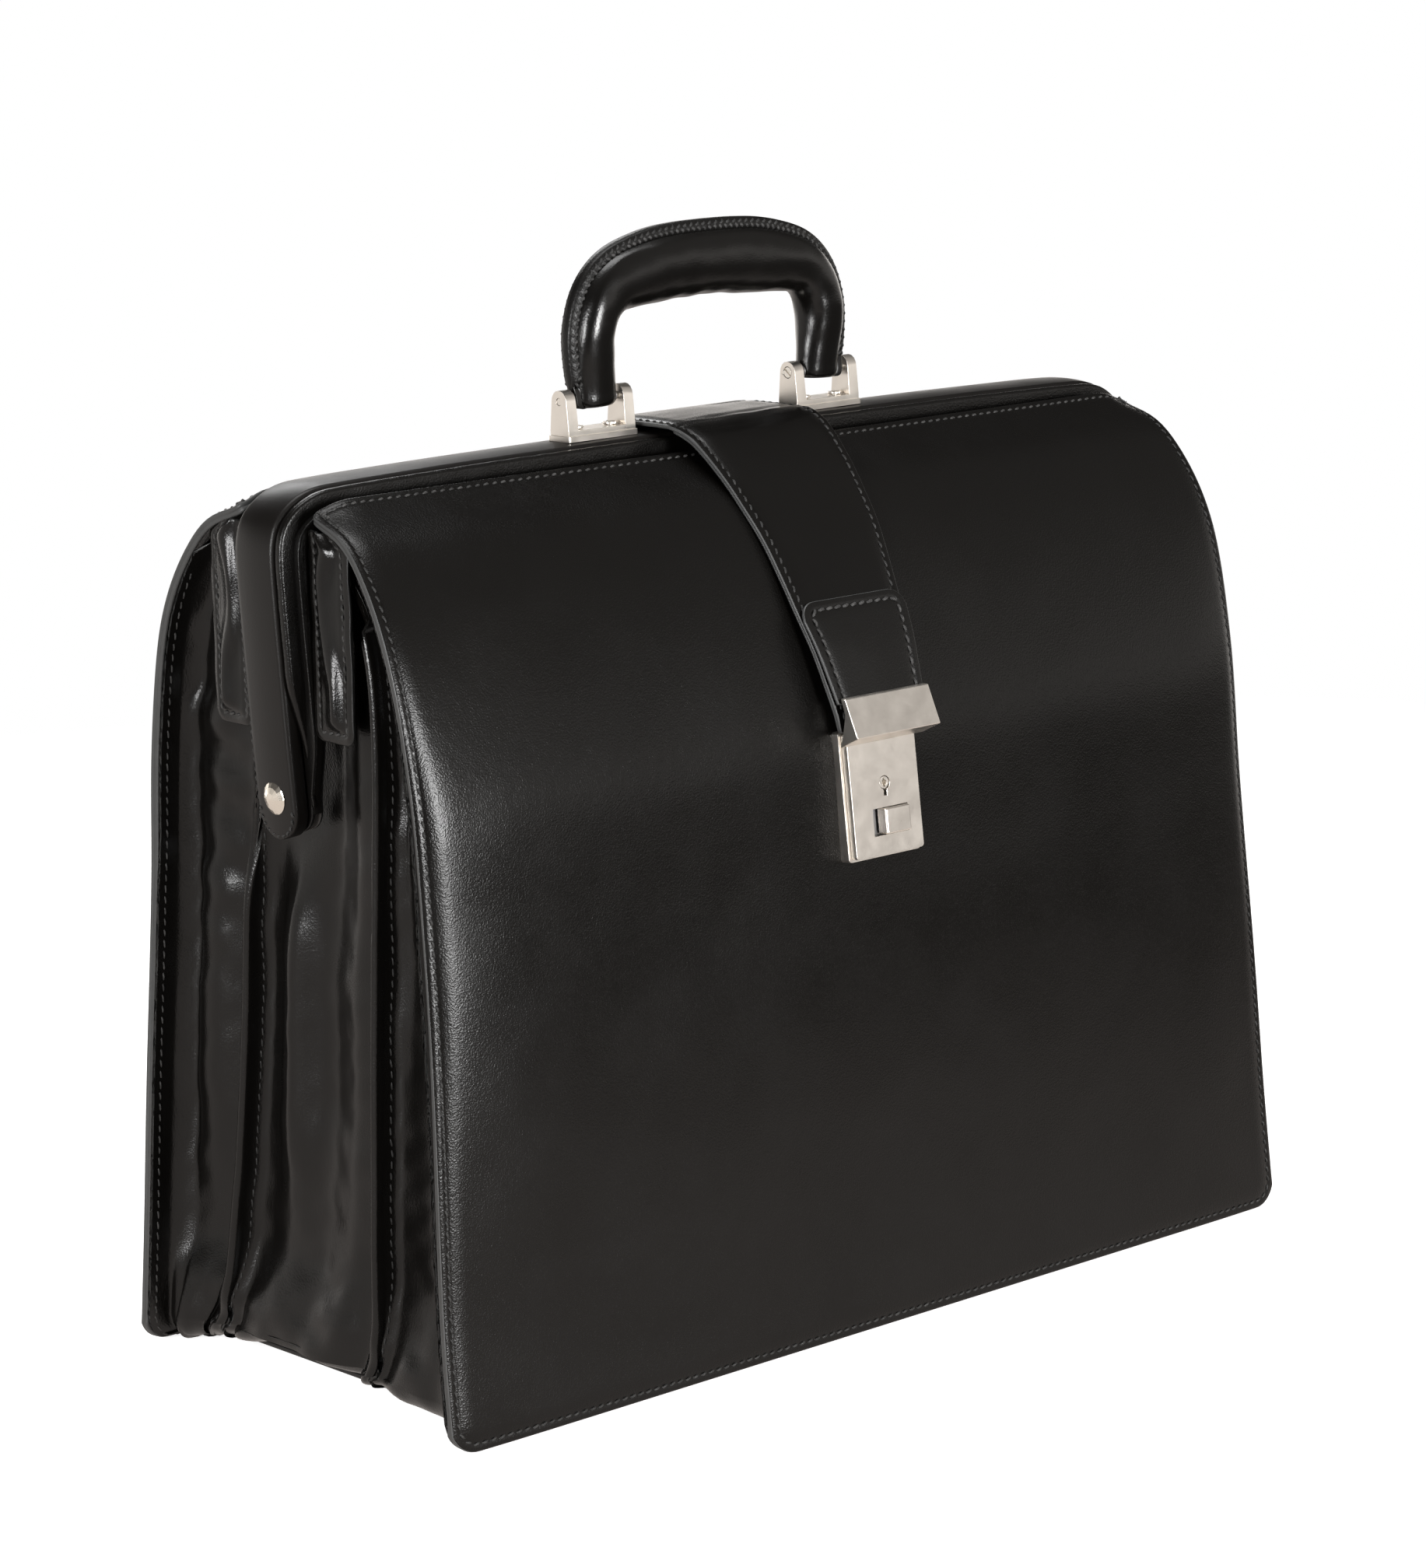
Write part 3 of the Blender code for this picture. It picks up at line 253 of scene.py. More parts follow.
def new_material(name):
    material = bpy.data.materials.new(name)
    material.use_nodes = True
    graph = Graph(material.node_tree)
    graph.tree.nodes.clear()
    output = graph.node("ShaderNodeOutputMaterial")
    bsdf = graph.node("ShaderNodeBsdfPrincipled")
    graph.put(output.inputs["Surface"], bsdf.outputs[0])
    return material, graph, bsdf.inputs


def shade(base, factor, lift=0.0):
    return tuple(min(value * factor + lift, 1.0) for value in base)


NOISE_CORE = (0.3, 0.7)             # the range in which most of a noise texture's values lie
BLACK = (0.0030, 0.0026, 0.0022)


def leather(name, base=BLACK, *, rough, grain, wrinkle, spec, edge_highlight=0.25):
    """Grained leather; the last argument sets how far its sharp edges turn paler: a painted
    highlight.
    """
    material, graph, inputs = new_material(name)
    place = graph.coords()
    warp = graph.noise(place, 180.0, detail=2.0)
    shift = graph.node("ShaderNodeCombineXYZ")
    for socket in shift.inputs:
        graph.put(socket, warp)
    bent = graph.node("ShaderNodeVectorMath", operation="MULTIPLY_ADD")
    graph.put(bent.inputs[0], shift.outputs[0])
    graph.put(bent.inputs[1], (0.0016, 0.0012, 0.0021))
    graph.put(bent.inputs[2], place)
    bent = bent.outputs[0]

    pores = graph.cells(bent, 1500.0, smoothness=0.6)
    fine = graph.noise(bent, 1350.0, rough=0.6)
    lines = graph.noise(graph.scaled(bent, (1.0, 1.0, 0.40)), 980.0, rough=0.62, distort=0.8)
    broad = graph.noise(place, 55.0, detail=4.0, distort=0.5)
    height = graph.calc("MULTIPLY", pores, 0.55 * grain)
    height = graph.calc("MULTIPLY_ADD", fine, 0.45 * grain, height)
    height = graph.calc("MULTIPLY_ADD", lines, 0.42 * wrinkle, height)
    height = graph.calc("MULTIPLY_ADD", broad, 0.7 * wrinkle, height)
    graph.put(inputs["Normal"], graph.bump(height, distance=0.000078))

    tone = graph.remap(graph.noise(place, 9.0), NOISE_CORE)
    colour = graph.mix(tone, shade(base, 0.89), shade(base, 1.13))
    # sharp edges painted paler: a painted highlight along them
    edge = graph.remap(graph.pointiness(), (0.53, 0.62), (0.0, edge_highlight))
    graph.put(inputs["Base Color"], graph.mix(edge, colour, shade(base, 2.6, lift=0.008)))

    patch = graph.noise(place, 24.0, detail=4.0, rough=0.6)
    patchy = graph.remap(patch, NOISE_CORE, (rough * 0.86, rough * 1.18))
    speckle = graph.noise(place, 1500.0, detail=2.0)
    graph.put(inputs["Roughness"], graph.calc("MULTIPLY_ADD", speckle, 0.06, patchy))
    inputs["Specular IOR Level"].default_value = spec
    return material


def edge_paint(name, base, rough):
    material, graph, inputs = new_material(name)
    place = graph.coords()
    tone = graph.noise(place, 160.0, detail=4.0, rough=0.6)
    dark = (base * 0.82, base * 0.84, base * 0.84)
    pale = (base * 1.15, base * 1.17, base * 1.16)
    graph.put(inputs["Base Color"], graph.mix(tone, dark, pale))
    patchy = graph.remap(graph.noise(place, 60.0), NOISE_CORE, (rough * 0.85, rough * 1.2))
    graph.put(inputs["Roughness"], patchy)
    streaks = graph.noise(graph.scaled(place, (1.0, 1.0, 0.15)), 900.0)
    height = graph.calc("MULTIPLY_ADD", streaks, 0.6, graph.noise(place, 240.0))
    graph.put(inputs["Normal"], graph.bump(height, distance=0.00010))
    return material


def thread(name, base):
    material, graph, inputs = new_material(name)
    place = graph.coords()
    strands = graph.noise(place, 2600.0, detail=2.0, rough=0.5, distort=1.5)
    tone = graph.remap(graph.noise(place, 500.0, detail=2.0), (0.35, 0.65))
    graph.put(inputs["Base Color"], graph.mix(tone, shade(base, 0.55), shade(base, 1.5)))
    graph.put(inputs["Roughness"], graph.remap(strands, NOISE_CORE, (0.42, 0.62)))
    graph.put(inputs["Normal"], graph.bump(strands, distance=0.00010))
    inputs["Sheen Weight"].default_value = 0.04
    inputs["Specular IOR Level"].default_value = 0.42
    return material


def metal(name, base, rough, grain=1.0):
    material, graph, inputs = new_material(name)
    place = graph.coords()
    inputs["Metallic"].default_value = 1.0
    tone = graph.remap(graph.noise(place, 70.0), NOISE_CORE)
    colour = graph.mix(tone, shade(base, 0.965), shade(base, 1.03))
    # sharp edges painted brighter: a painted highlight along them
    edge = graph.remap(graph.pointiness(), (0.55, 0.70), (0.0, 0.5))
    graph.put(inputs["Base Color"], graph.mix(edge, colour, shade(base, 1.12)))
    brushed = graph.noise(graph.scaled(place, (1.0, 1.0, 1.0)), 900.0, rough=0.6)
    patch = graph.noise(place, 130.0, detail=4.0)
    patchy = graph.remap(patch, NOISE_CORE, (rough * 0.88, rough * 1.14))
    graph.put(inputs["Roughness"], graph.calc("MULTIPLY_ADD", brushed, 0.05 * grain, patchy))
    graph.put(inputs["Normal"], graph.bump(brushed, distance=0.000012 * grain))
    return material


def suede(name, base):
    material, graph, inputs = new_material(name)
    place = graph.coords()
    nap = graph.noise(place, 700.0, detail=5.0, rough=0.7, distort=0.8)
    tone = graph.remap(nap, NOISE_CORE)
    graph.put(inputs["Base Color"], graph.mix(tone, shade(base, 0.75), shade(base, 1.25)))
    patchy = graph.remap(graph.noise(place, 40.0), NOISE_CORE, (0.78, 0.92))
    graph.put(inputs["Roughness"], patchy)
    graph.put(inputs["Normal"], graph.bump(nap, distance=0.0002))
    inputs["Sheen Weight"].default_value = 0.2
    return material


PANEL_LEATHER = leather("panel_leather", rough=0.25, grain=1.5, wrinkle=1.3, spec=0.35)
GUSSET_LEATHER = leather("gusset_leather", rough=0.215, grain=1.0, wrinkle=1.6, spec=0.50)
GLOSS_LEATHER = leather("gloss_leather", rough=0.195, grain=0.9, wrinkle=1.2, spec=0.50)
PIPING_LEATHER = leather("piping_leather", rough=0.24, grain=1.3, wrinkle=1.4, spec=0.42)
BAND_LEATHER = leather("band_leather", (0.0056, 0.0046, 0.0040),
                       rough=0.34, grain=0.30, wrinkle=0.35, spec=0.40)
STRAP_LEATHER = leather("strap_leather", rough=0.22, grain=0.4, wrinkle=0.45, spec=0.36)
PATCH_LEATHER = leather("patch_leather", (0.0040, 0.0036, 0.0031),
                        rough=0.32, grain=1.2, wrinkle=0.8, spec=0.40)
HANDLE_LEATHER = leather("handle_leather", rough=0.195, grain=0.7, wrinkle=0.9, spec=0.50)
RAW_LEATHER = leather("raw_leather", (0.0034, 0.0030, 0.0027),
                      rough=0.34, grain=2.0, wrinkle=2.0, spec=0.42, edge_highlight=0.4)
BOTTOM_LEATHER = leather("bottom_leather", (0.0030, 0.0028, 0.0026),
                         rough=0.34, grain=1.4, wrinkle=1.2, spec=0.40)
EDGE_PAINT = edge_paint("edge_paint", base=0.066, rough=0.44)
DARK_EDGE = edge_paint("edge_paint_dark", base=0.006, rough=0.38)
LINING = suede("lining_suede", (0.030, 0.026, 0.023))
BOARD = suede("board", (0.12, 0.085, 0.055))
THREAD = thread("thread", (0.024, 0.0236, 0.023))
PALE_THREAD = thread("thread_light", (0.044, 0.043, 0.042))
METALS = {
    "satin_nickel": metal("satin_nickel", (0.95, 0.90, 0.835), rough=0.29),
    "polished_nickel": metal("polished_nickel", (0.93, 0.87, 0.78), rough=0.20, grain=0.3),
    "steel": metal("steel", (0.50, 0.50, 0.51), rough=0.34),
}


# ==================================================================================== mesh helpers
def add_object(name, mesh):
    piece = bpy.data.objects.new(name, mesh)
    ROOT.objects.link(piece)
    return piece


def build(name, verts, faces, mats, index, normals=None):
    """A closed, smooth-shaded mesh with its faces turned outwards."""
    mesh = bpy.data.meshes.new(name)
    verts = np.asarray(verts, float).tolist()
    mesh.from_pydata(verts, [], [tuple(int(k) for k in face) for face in faces])
    piece = add_object(name, mesh)
    for mat in mats:
        mesh.materials.append(mat)
    mesh.polygons.foreach_set("material_index", np.asarray(index, np.int32))
    mesh.validate()
    work = bmesh.new()
    work.from_mesh(mesh)
    bmesh.ops.recalc_face_normals(work, faces=work.faces)
    if work.calc_volume(signed=True) < 0:
        bmesh.ops.reverse_faces(work, faces=work.faces)
    work.to_mesh(mesh)
    work.free()
    mesh.shade_smooth()
    if normals is not None:
        mesh.normals_split_custom_set_from_vertices(np.asarray(normals, float).tolist())
    return piece


def dress(piece, slot, *nodes, body=None):
    """Hide the CAD nodes a piece stands in for and attach it to the body it rides; `slot` is not
    used.
    """
    if body:
        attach(piece, body)
    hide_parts(*nodes)


def grid_quads(rows, cols):
    return [(i * cols + j, i * cols + j + 1, (i + 1) * cols + j + 1, (i + 1) * cols + j)
            for i in range(rows - 1) for j in range(cols - 1)]


def grid_rim(rows, cols):
    """Point numbers once round a grid's edge."""
    ids = np.arange(rows * cols).reshape(rows, cols)
    return np.concatenate([ids[0], ids[1:, -1], ids[-1, -2::-1], ids[-2:0:-1, 0]])


def tube_faces(rings, sides, first=0):
    """Faces of a capped tube whose ring points are numbered on from `first`."""
    faces = []
    for i in range(rings - 1):
        low, high = first + i * sides, first + (i + 1) * sides
        for j in range(sides):
            k = (j + 1) % sides
            faces.append((low + j, low + k, high + k, high + j))
    last = first + (rings - 1) * sides
    faces.append(tuple(first + j for j in range(sides - 1, -1, -1)))
    faces.append(tuple(last + j for j in range(sides)))
    return faces


EDGE_OUT = 0.0007               # how far a sheet's rounded rim stands out from its face grid
# (outwards in the sheet's plane, down through its thickness)
ROUND_EDGE = [(0.00030, 0.00006), (0.00056, 0.00024), (EDGE_OUT, 0.00052)]


def edge_profile(thick, groove=None):
    """Rings round a sheet's rim, in ROUND_EDGE's columns; `groove` is a groove's depth."""
    low = [(out, thick - down) for out, down in reversed(ROUND_EDGE)]
    middle = [(EDGE_OUT, thick * 0.5)]
    if groove:
        middle = [(EDGE_OUT, groove - 0.00025), (EDGE_OUT - 0.00035, groove),
                  (EDGE_OUT, groove + 0.00025)]
    return ROUND_EDGE + middle + low


def sheet(name, face, thick, mats, out, groove=None):
    """A closed sheet whose shown face is a grid of points that looks roughly towards `out`.

    Its materials are for the face, the rim and the inner side.
    """
    rows, cols = face.shape[:2]
    normals = grid_normals(face)
    if (normals @ np.asarray(out, float)).mean() < 0:
        normals = -normals
    flat, flat_normals = face.reshape(-1, 3), normals.reshape(-1, 3)
    loop = grid_rim(rows, cols)
    rim, rim_normals = flat[loop], flat_normals[loop]
    tangents = unit(np.roll(rim, -1, 0) - np.roll(rim, 1, 0))
    outward = unit(np.cross(tangents, rim_normals))
    if ((rim - flat.mean(0)) * outward).sum(1).mean() < 0:
        outward = -outward
    profile = edge_profile(thick, groove)
    verts = [flat]
    verts += [rim + outward * beyond - rim_normals * down for beyond, down in profile]
    verts.append(flat - flat_normals * thick)

    count = len(loop)
    inner = len(flat) + count * len(profile)
    quads = grid_quads(rows, cols)
    faces, index = list(quads), [0] * len(quads)
    rings = [loop]
    rings += [len(flat) + k * count + np.arange(count) for k in range(len(profile))]
    rings.append(inner + loop)
    for k, (upper, lower) in enumerate(zip(rings, rings[1:])):
        for i in range(count):
            j = (i + 1) % count
            faces.append((upper[i], upper[j], lower[j], lower[i]))
        index += [min(k, 1)] * count
    faces += [(inner + a, inner + d, inner + c, inner + b) for a, b, c, d in quads]
    index += [2] * len(quads)
    return build(name, np.vstack(verts), faces, mats, index)


def loft(name, rings, mats, painted=0):
    """A capped tube through the rings; each ring's last `painted` sides take material 1."""
    rings = np.array(rings, float)
    count, sides = rings.shape[:2]
    around = [0] * (sides - painted) + [1] * painted
    index = around * (count - 1) + [0, 0]
    return build(name, rings.reshape(-1, 3), tube_faces(count, sides), mats, index)


# A stitch's stations: place along its half length, radius, rise; the last two in thicknesses.
THREAD_STATIONS = [(-1.0, 0.35, -1.9), (-0.86, 0.78, -0.9), (-0.5, 1.0, -0.15), (0.0, 1.04, 0.12),
                   (0.5, 1.0, -0.15), (0.86, 0.78, -0.9), (1.0, 0.35, -1.9)]
THREAD_SIDES = 6
THREAD_LIFT = 0.00012
# How much fuller, longer and steeper every stitch is made than the values its row asks for.
FULLER, LONGER, STEEPER = 1.28, 1.12, 1.7
LONGEST_SHARE = 0.90


def stitches(name, path, normal, mat, pitch=0.0039, thick=0.00034, share=0.74, slant=9.0):
    """A row of sewn stitches: short rounded threads whose ends dip into the leather.

    `share` is the part of the pitch that a thread covers, `slant` its turn in degrees.
    """
    thick, slant = thick * FULLER, slant * STEEPER
    share = min(share * LONGER, LONGEST_SHARE)
    path = np.asarray(path, float)
    normal = np.broadcast_to(np.asarray(normal, float), path.shape)
    running = lengths(path)
    total = running[-1]
    count = max(2, int(round(total / pitch)))
    middles = (np.arange(count) + 0.5) * total / count
    centres = at_length(path, middles, running)
    outs = unit(at_length(normal, middles, running))
    ahead = unit(at_length(path, np.minimum(middles + 0.0006, total), running)
                 - at_length(path, np.maximum(middles - 0.0006, 0), running))
    ahead = unit(ahead - outs * (ahead * outs).sum(1, keepdims=True))
    across = np.cross(outs, ahead)
    rng = np.random.default_rng(len(name) * 7 + count)
    turns = [2 * math.pi * j / THREAD_SIDES for j in range(THREAD_SIDES)]
    verts, faces = [], []
    for k, out in enumerate(outs):
        angle = math.radians(slant * rng.uniform(0.7, 1.3))
        along = ahead[k] * math.cos(angle) + across[k] * math.sin(angle)
        beside = np.cross(out, along)
        half = 0.5 * share * total / count * rng.uniform(0.93, 1.06)
        faces += tube_faces(len(THREAD_STATIONS), THREAD_SIDES, first=len(verts))
        for place, radius, rise in THREAD_STATIONS:
            centre = centres[k] + along * half * place + out * (THREAD_LIFT + rise * thick)
            wide, tall = thick * radius * 1.15, thick * radius * 0.9
            verts += [tuple(centre + beside * wide * math.cos(turn) + out * tall * math.sin(turn))
                      for turn in turns]
    mesh = bpy.data.meshes.new(name)
    mesh.from_pydata(verts, [], faces)
    mesh.materials.append(mat)
    mesh.shade_smooth()
    return add_object(name, mesh)


# =========================================================================================== panels
# (distance from the bag's middle plane, z) up a panel's shown face
PANEL_PROFILE = [(0.0944, 0.0), (0.0900, 0.048), (0.0862, 0.113), (0.0811, 0.178),
                 (0.0764, 0.234), (0.0666, 0.280), (0.0479, 0.311), (0.0222, 0.3294)]
PANEL_THICK = 0.0034
CORNER_R = 0.011                # the panels' bottom corners
TOP_CORNER_R = 0.0050
BULGE = 0.0055
FOOT_HALF, WAIST_HALF, TOP_HALF = 0.2150, 0.2095, 0.2056    # half widths, from the foot up
WAIST_Z, NARROWING_Z = 0.200, 0.270
PANEL_SEAM_IN = 0.0031
# Distances in from an edge at which the grids have columns and rows, close together at the seam.
SEAM_STEPS = [0.0020, 0.0027, 0.0031, 0.0036, 0.0044, 0.0056, 0.0072, 0.0092, 0.0115, 0.015]
SIDE_STEPS = [0, 0.0006, 0.0012, *SEAM_STEPS, 0.019, 0.024, 0.030, 0.037, 0.046, 0.056]
FOOT_STEPS = np.array([0.0007, 0.0013, *SEAM_STEPS])

PROFILE = spline(PANEL_PROFILE, 400)
PROFILE_RUN = lengths(PROFILE)
PROFILE_N = -left_normals(PROFILE)
INNER = PROFILE - PROFILE_N * PANEL_THICK
PANEL_LEN = PROFILE_RUN[-1]


def inner_y(z):
    return np.interp(z, INNER[:, 1], INNER[:, 0])


def panel_z(up):
    return np.interp(up, PROFILE_RUN, PROFILE[:, 1])


def half_width(z):
    z = np.asarray(z, float)
    width = FOOT_HALF + (WAIST_HALF - FOOT_HALF) * smooth(z / WAIST_Z)
    climb = np.maximum(z - NARROWING_Z, 0) / (PANEL_PROFILE[-1][1] - NARROWING_Z)
    return width + (TOP_HALF - WAIST_HALF) * climb ** 2


def bulge(inward, z):
    """How far a panel swells at a distance in from its side edge."""
    across = 1 - (1 - np.minimum(inward / 0.055, 1.0)) ** 2.5
    up = smooth((0.288 - z) / 0.075) * (0.24 + 0.76 * smooth((z - 0.015) / 0.125))
    edge = 1 - (1 - np.minimum(inward / 0.015, 1.0)) ** 2
    roll = 0.0018 * edge * up * smooth((z - 0.095) / 0.080)
    return 0.86 * BULGE * across * up + roll


def panel_point(x, up, side, raised=0.0):
    """Points and normals of a panel's shown face; `up` is the length up its curve."""
    x, up = np.broadcast_arrays(np.asarray(x, float), np.asarray(up, float))
    y, z = at_length(PROFILE, up, PROFILE_RUN).T
    normal_y, normal_z = at_length(PROFILE_N, up, PROFILE_RUN).T
    inward = np.maximum(half_width(z) - np.abs(x), 0)
    rim = np.minimum(rounded_rim(inward, up, CORNER_R), PANEL_LEN - up)
    place = np.stack([x, side * y, z], -1)
    height = bulge(inward, z) + raised
    # the groove under the seam, the thinner rim and the padding inside the seam
    height = height - 0.00042 * bell(rim, PANEL_SEAM_IN, 0.0008)
    height = height - 0.00035 * smooth((0.0026 - rim) / 0.0022)
    height = height + 0.00055 * smooth((rim - 0.0033) / 0.0050) * smooth((PANEL_LEN - up) / 0.03)
    # wide and small unevenness, different on the two panels
    broad = waves(place, 0.11, 31 if side < 0 else 32)
    small = waves(place, 0.030, 41 if side < 0 else 42)
    height = height + 0.00028 * broad * smooth((rim - 0.004) / 0.03)
    height = height + 0.00007 * small * smooth((rim - 0.004) / 0.02)
    # the top corners curl down
    curl = smooth((0.020 - inward) / 0.020) * smooth((up - (PANEL_LEN - 0.030)) / 0.030)
    height = height - 0.0030 * curl * curl
    z = z - 0.0011 * curl * curl
    points = np.stack([x, side * (y + normal_y * height), z + normal_z * height], -1)
    return points, np.stack([np.zeros_like(x), side * normal_y, normal_z], -1)


def panel_grid(side):
    across = columns(SIDE_STEPS, FOOT_HALF, 19) / FOOT_HALF
    middle = np.linspace(FOOT_STEPS[-1], PANEL_LEN - FOOT_STEPS[-1], 88)[1:-1]
    ups = np.concatenate([FOOT_STEPS, middle, PANEL_LEN - FOOT_STEPS[::-1]])
    points = np.zeros((len(ups), len(across), 3))
    for j, share in enumerate(across):
        inward = max((1 - abs(share)) * FOOT_HALF, 0.0) + EDGE_OUT
        start = corner_cut(CORNER_R, inward)
        up = start + ups * (1 - start / PANEL_LEN)
        top_cut = corner_cut(TOP_CORNER_R, inward)
        up = start + (up - start) * (1 - top_cut / (PANEL_LEN - start))
        width = half_width(panel_z(up)) - EDGE_OUT
        points[:, j], _ = panel_point(share * width, up, side)
    return points


def corner_arc(radius, inset, turns):
    """Distances from two square edges along a stitch line round their rounded corner."""
    reach = radius - inset
    return radius - reach * np.cos(turns), radius - reach * np.sin(turns)


def seam_path(side, offset, raised):
    """Stitch line inside a panel's outline: down the left, along the foot, up the right."""
    turn_in, turn_up = corner_arc(CORNER_R, offset, np.linspace(0, math.pi / 2, 12)[1:])
    inward = np.concatenate([np.full(160, offset), turn_in])
    up = np.concatenate([np.linspace(PANEL_LEN - offset, CORNER_R, 160), turn_up])
    x = inward - half_width(panel_z(up))
    foot = np.linspace(x[-1], -x[-1], 220)[1:-1]
    x = np.concatenate([x, foot, -x[::-1]])
    up = np.concatenate([up, np.full(len(foot), offset), up[::-1]])
    return panel_point(x, up, side, raised)


def top_path(side, offset):
    up = PANEL_LEN - offset
    width = half_width(panel_z(up)) - offset
    return panel_point(np.linspace(-width, width, 240), up, side)


def panel(side, tag, body):
    piece = sheet("panel_%s_leather" % tag, panel_grid(side), PANEL_THICK,
                  [PANEL_LEATHER, EDGE_PAINT, LINING], out=(0, side, 0.1), groove=PANEL_THICK / 2)
    dress(piece, "panel_leather", "%s_panel" % tag, body=body)
    path, normals = seam_path(side, PANEL_SEAM_IN, raised=0.0001)
    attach(stitches("panel_%s_seam" % tag, path, normals, THREAD, 0.0038, slant=-10 * side), body)
    path, normals = top_path(side, PANEL_SEAM_IN)
    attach(stitches("panel_%s_top_seam" % tag, path, normals, PALE_THREAD, 0.0040), body)


def panel_knot(side, tag, body, side_x, end):
    """A short run of close, thick stitches at a panel's top corner."""
    run = np.linspace(0, 1, 12)
    up = PANEL_LEN - 0.0014 - 0.0052 * run
    x = side_x * (half_width(panel_z(up)) - 0.0030 - 0.0010 * run)
    path, normals = panel_point(x, up, side, raised=0.0003)
    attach(stitches("panel_%s_knot_%s" % (tag, end), path, normals, PALE_THREAD,
                     pitch=0.0011, thick=0.00050, share=1.0, slant=38.0 * side_x), body)


for side, tag, body in PANELS:
    panel(side, tag, body)
for side, tag, body in PANELS:
    for side_x, end in ENDS:
        panel_knot(side, tag, body, side_x, end)


# ============================================================================ pleated side gussets
GUSSET_THICK = 0.0017
CREASES = {"front": (-0.0294, -0.095), "rear": (0.0640, -0.170)}    # y at the foot, y per z
# Half of a pinched fold's section: (depth in from the rim, half thickness)
FOLD_HALF = [(0.0152, 0.0058), (0.0136, 0.0034), (0.0114, 0.0023), (0.0090, 0.0018),
             (0.0068, 0.0019), (0.0050, 0.0017), (0.0040, 0.0006)]
GUSSET_PER = 4                                  # samples to a span of the section
# the section's point numbers at which the two folds start
FOLD_STARTS = (("front", 9), ("rear", 9 + 2 * len(FOLD_HALF) + 8))
FOLD_NECKS = ((2, "a"), (11, "b"))              # sewn points, counted from a fold's start


def crease(which, z):
    foot, slope = CREASES[which]
    return foot + slope * z


def blend_half(piece):
    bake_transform(piece)


def gusset_section(z):
    """Stations of a side's section at height z, front to back: (depth in from the rim, y)."""
    wall = inner_y(z) - 0.0001
    hook = (max(0.040 - z, 0.0) / 0.040) ** 2
    front = crease("front", z) + 0.0125 * hook - 0.0030 * smooth((0.150 - z) / 0.10)
    rear = crease("rear", z) + 0.0138 * hook - 0.0062 * smooth((0.190 - z) / 0.12)
    nearest = -wall + 0.0135                    # the front fold keeps clear of the front panel
    front = 0.5 * (front + nearest + math.sqrt((front - nearest) ** 2 + 0.0110 ** 2))
    front_gap, middle_gap, rear_gap = front + wall, rear - front, wall - rear

    # unevenness of the three stretches between panels and folds
    probe = np.array([-0.21, 0.0, z])
    dent_f = 0.0011 * waves(probe, 0.110, 3)
    dent_m = 0.0013 * waves(probe, 0.130, 4)
    dent_r = 0.0012 * waves(probe, 0.100, 5) \
        - 0.0035 * smooth((0.235 - z) / 0.11) * smooth((z - 0.05) / 0.07)
    ridge = 0.0062 * smooth((z - 0.045) / 0.06) * smooth((0.245 - z) / 0.115) \
        * (0.88 + 0.12 * waves(probe, 0.12, 8))
    valley = 0.0030 * smooth((z - 0.06) / 0.07)
    swell = 0.0072 * smooth((0.052 - z) / 0.038)    # the leather swells out above its bottom fold
    sink = 0.0034 * smooth((0.030 - z) / 0.022)     # and the pinched folds sink into it
    wide = 1.0 + 0.35 * smooth((0.045 - z) / 0.035)

    def pinched_fold(y):
        """Root, sewn neck, round edge, neck, root."""
        half = [(depth - swell * smooth((depth - 0.006) / 0.008) * 0.75
                 + sink * (1 if depth < 0.008 else 0.6), thick * wide)
                for depth, thick in FOLD_HALF]
        return [(depth, y - thick) for depth, thick in half] + \
               [(depth, y + thick) for depth, thick in reversed(half)]

    def against_panel(sign):
        """From the rim along a panel's inner face and off it."""
        inside = wall - GUSSET_THICK
        return [(0.0003, sign * inside), (0.0030, sign * (inside - 0.0001)),
                (0.0062, sign * (inside - 0.0002)), (0.0092, sign * (inside - 0.0008)),
                (0.0126 - 0.5 * swell, sign * (inside - 0.0030))]

    points = against_panel(-1)
    points += [(0.0146 - 0.8 * swell, -wall + 0.0080),
               (0.0156 + dent_f - swell, -wall + 0.34 * front_gap),
               (0.0150 + dent_f * 1.3 - swell, -wall + 0.52 * front_gap),
               (0.0160 + 0.6 * dent_f - swell, front - 0.26 * front_gap)]
    points += pinched_fold(front)
    middle = [(0.0152 - 0.8 * swell, 0.15),
              (0.0138 + dent_m * 0.6 - swell, 0.26),
              (0.0146 + valley * 0.5 + dent_m - swell, 0.37),
              (0.0160 + valley + dent_m - swell, 0.48),
              (0.0152 + valley * 0.5 + dent_m * 0.7 - swell, 0.58),
              (0.0146 - ridge + dent_m - swell, 0.70),
              (0.0150 - ridge * 0.75 + dent_m * 0.7 - swell, 0.78),
              (0.0162 - ridge * 0.2 + 0.3 * dent_m - swell, 0.865)]
    points += [(depth, front + share * middle_gap) for depth, share in middle]
    points += pinched_fold(rear)
    points += [(0.0160 - swell, rear + 0.24 * rear_gap),
               (0.0142 + dent_r - swell, rear + 0.40 * rear_gap),
               (0.0130 + dent_r * 1.3 - swell, rear + 0.54 * rear_gap),
               (0.0136 + dent_r - swell, wall - 0.30 * rear_gap),
               (0.0146 - 0.8 * swell, wall - 0.0082)]
    points += against_panel(1)[::-1]
    points = np.array(points)
    # the folds lie deeper the lower they are
    front_deep = np.interp(z, [0.0, 0.012, 0.030, 0.060, 0.140, 0.200],
                           [0.0052, 0.0066, 0.0074, 0.0052, 0.0024, 0.0])
    rear_deep = np.interp(z, [0.0, 0.060, 0.140, 0.180, 0.220],
                          [0.0064, 0.0066, 0.0052, 0.0036, 0.0])
    points[:, 0] += np.interp(
        points[:, 1], [-wall + 0.004, -wall + 0.018, front, rear, wall - 0.018, wall - 0.004],
        [0, 0.6 * front_deep, front_deep, rear_deep, 0.6 * rear_deep, 0])
    return points


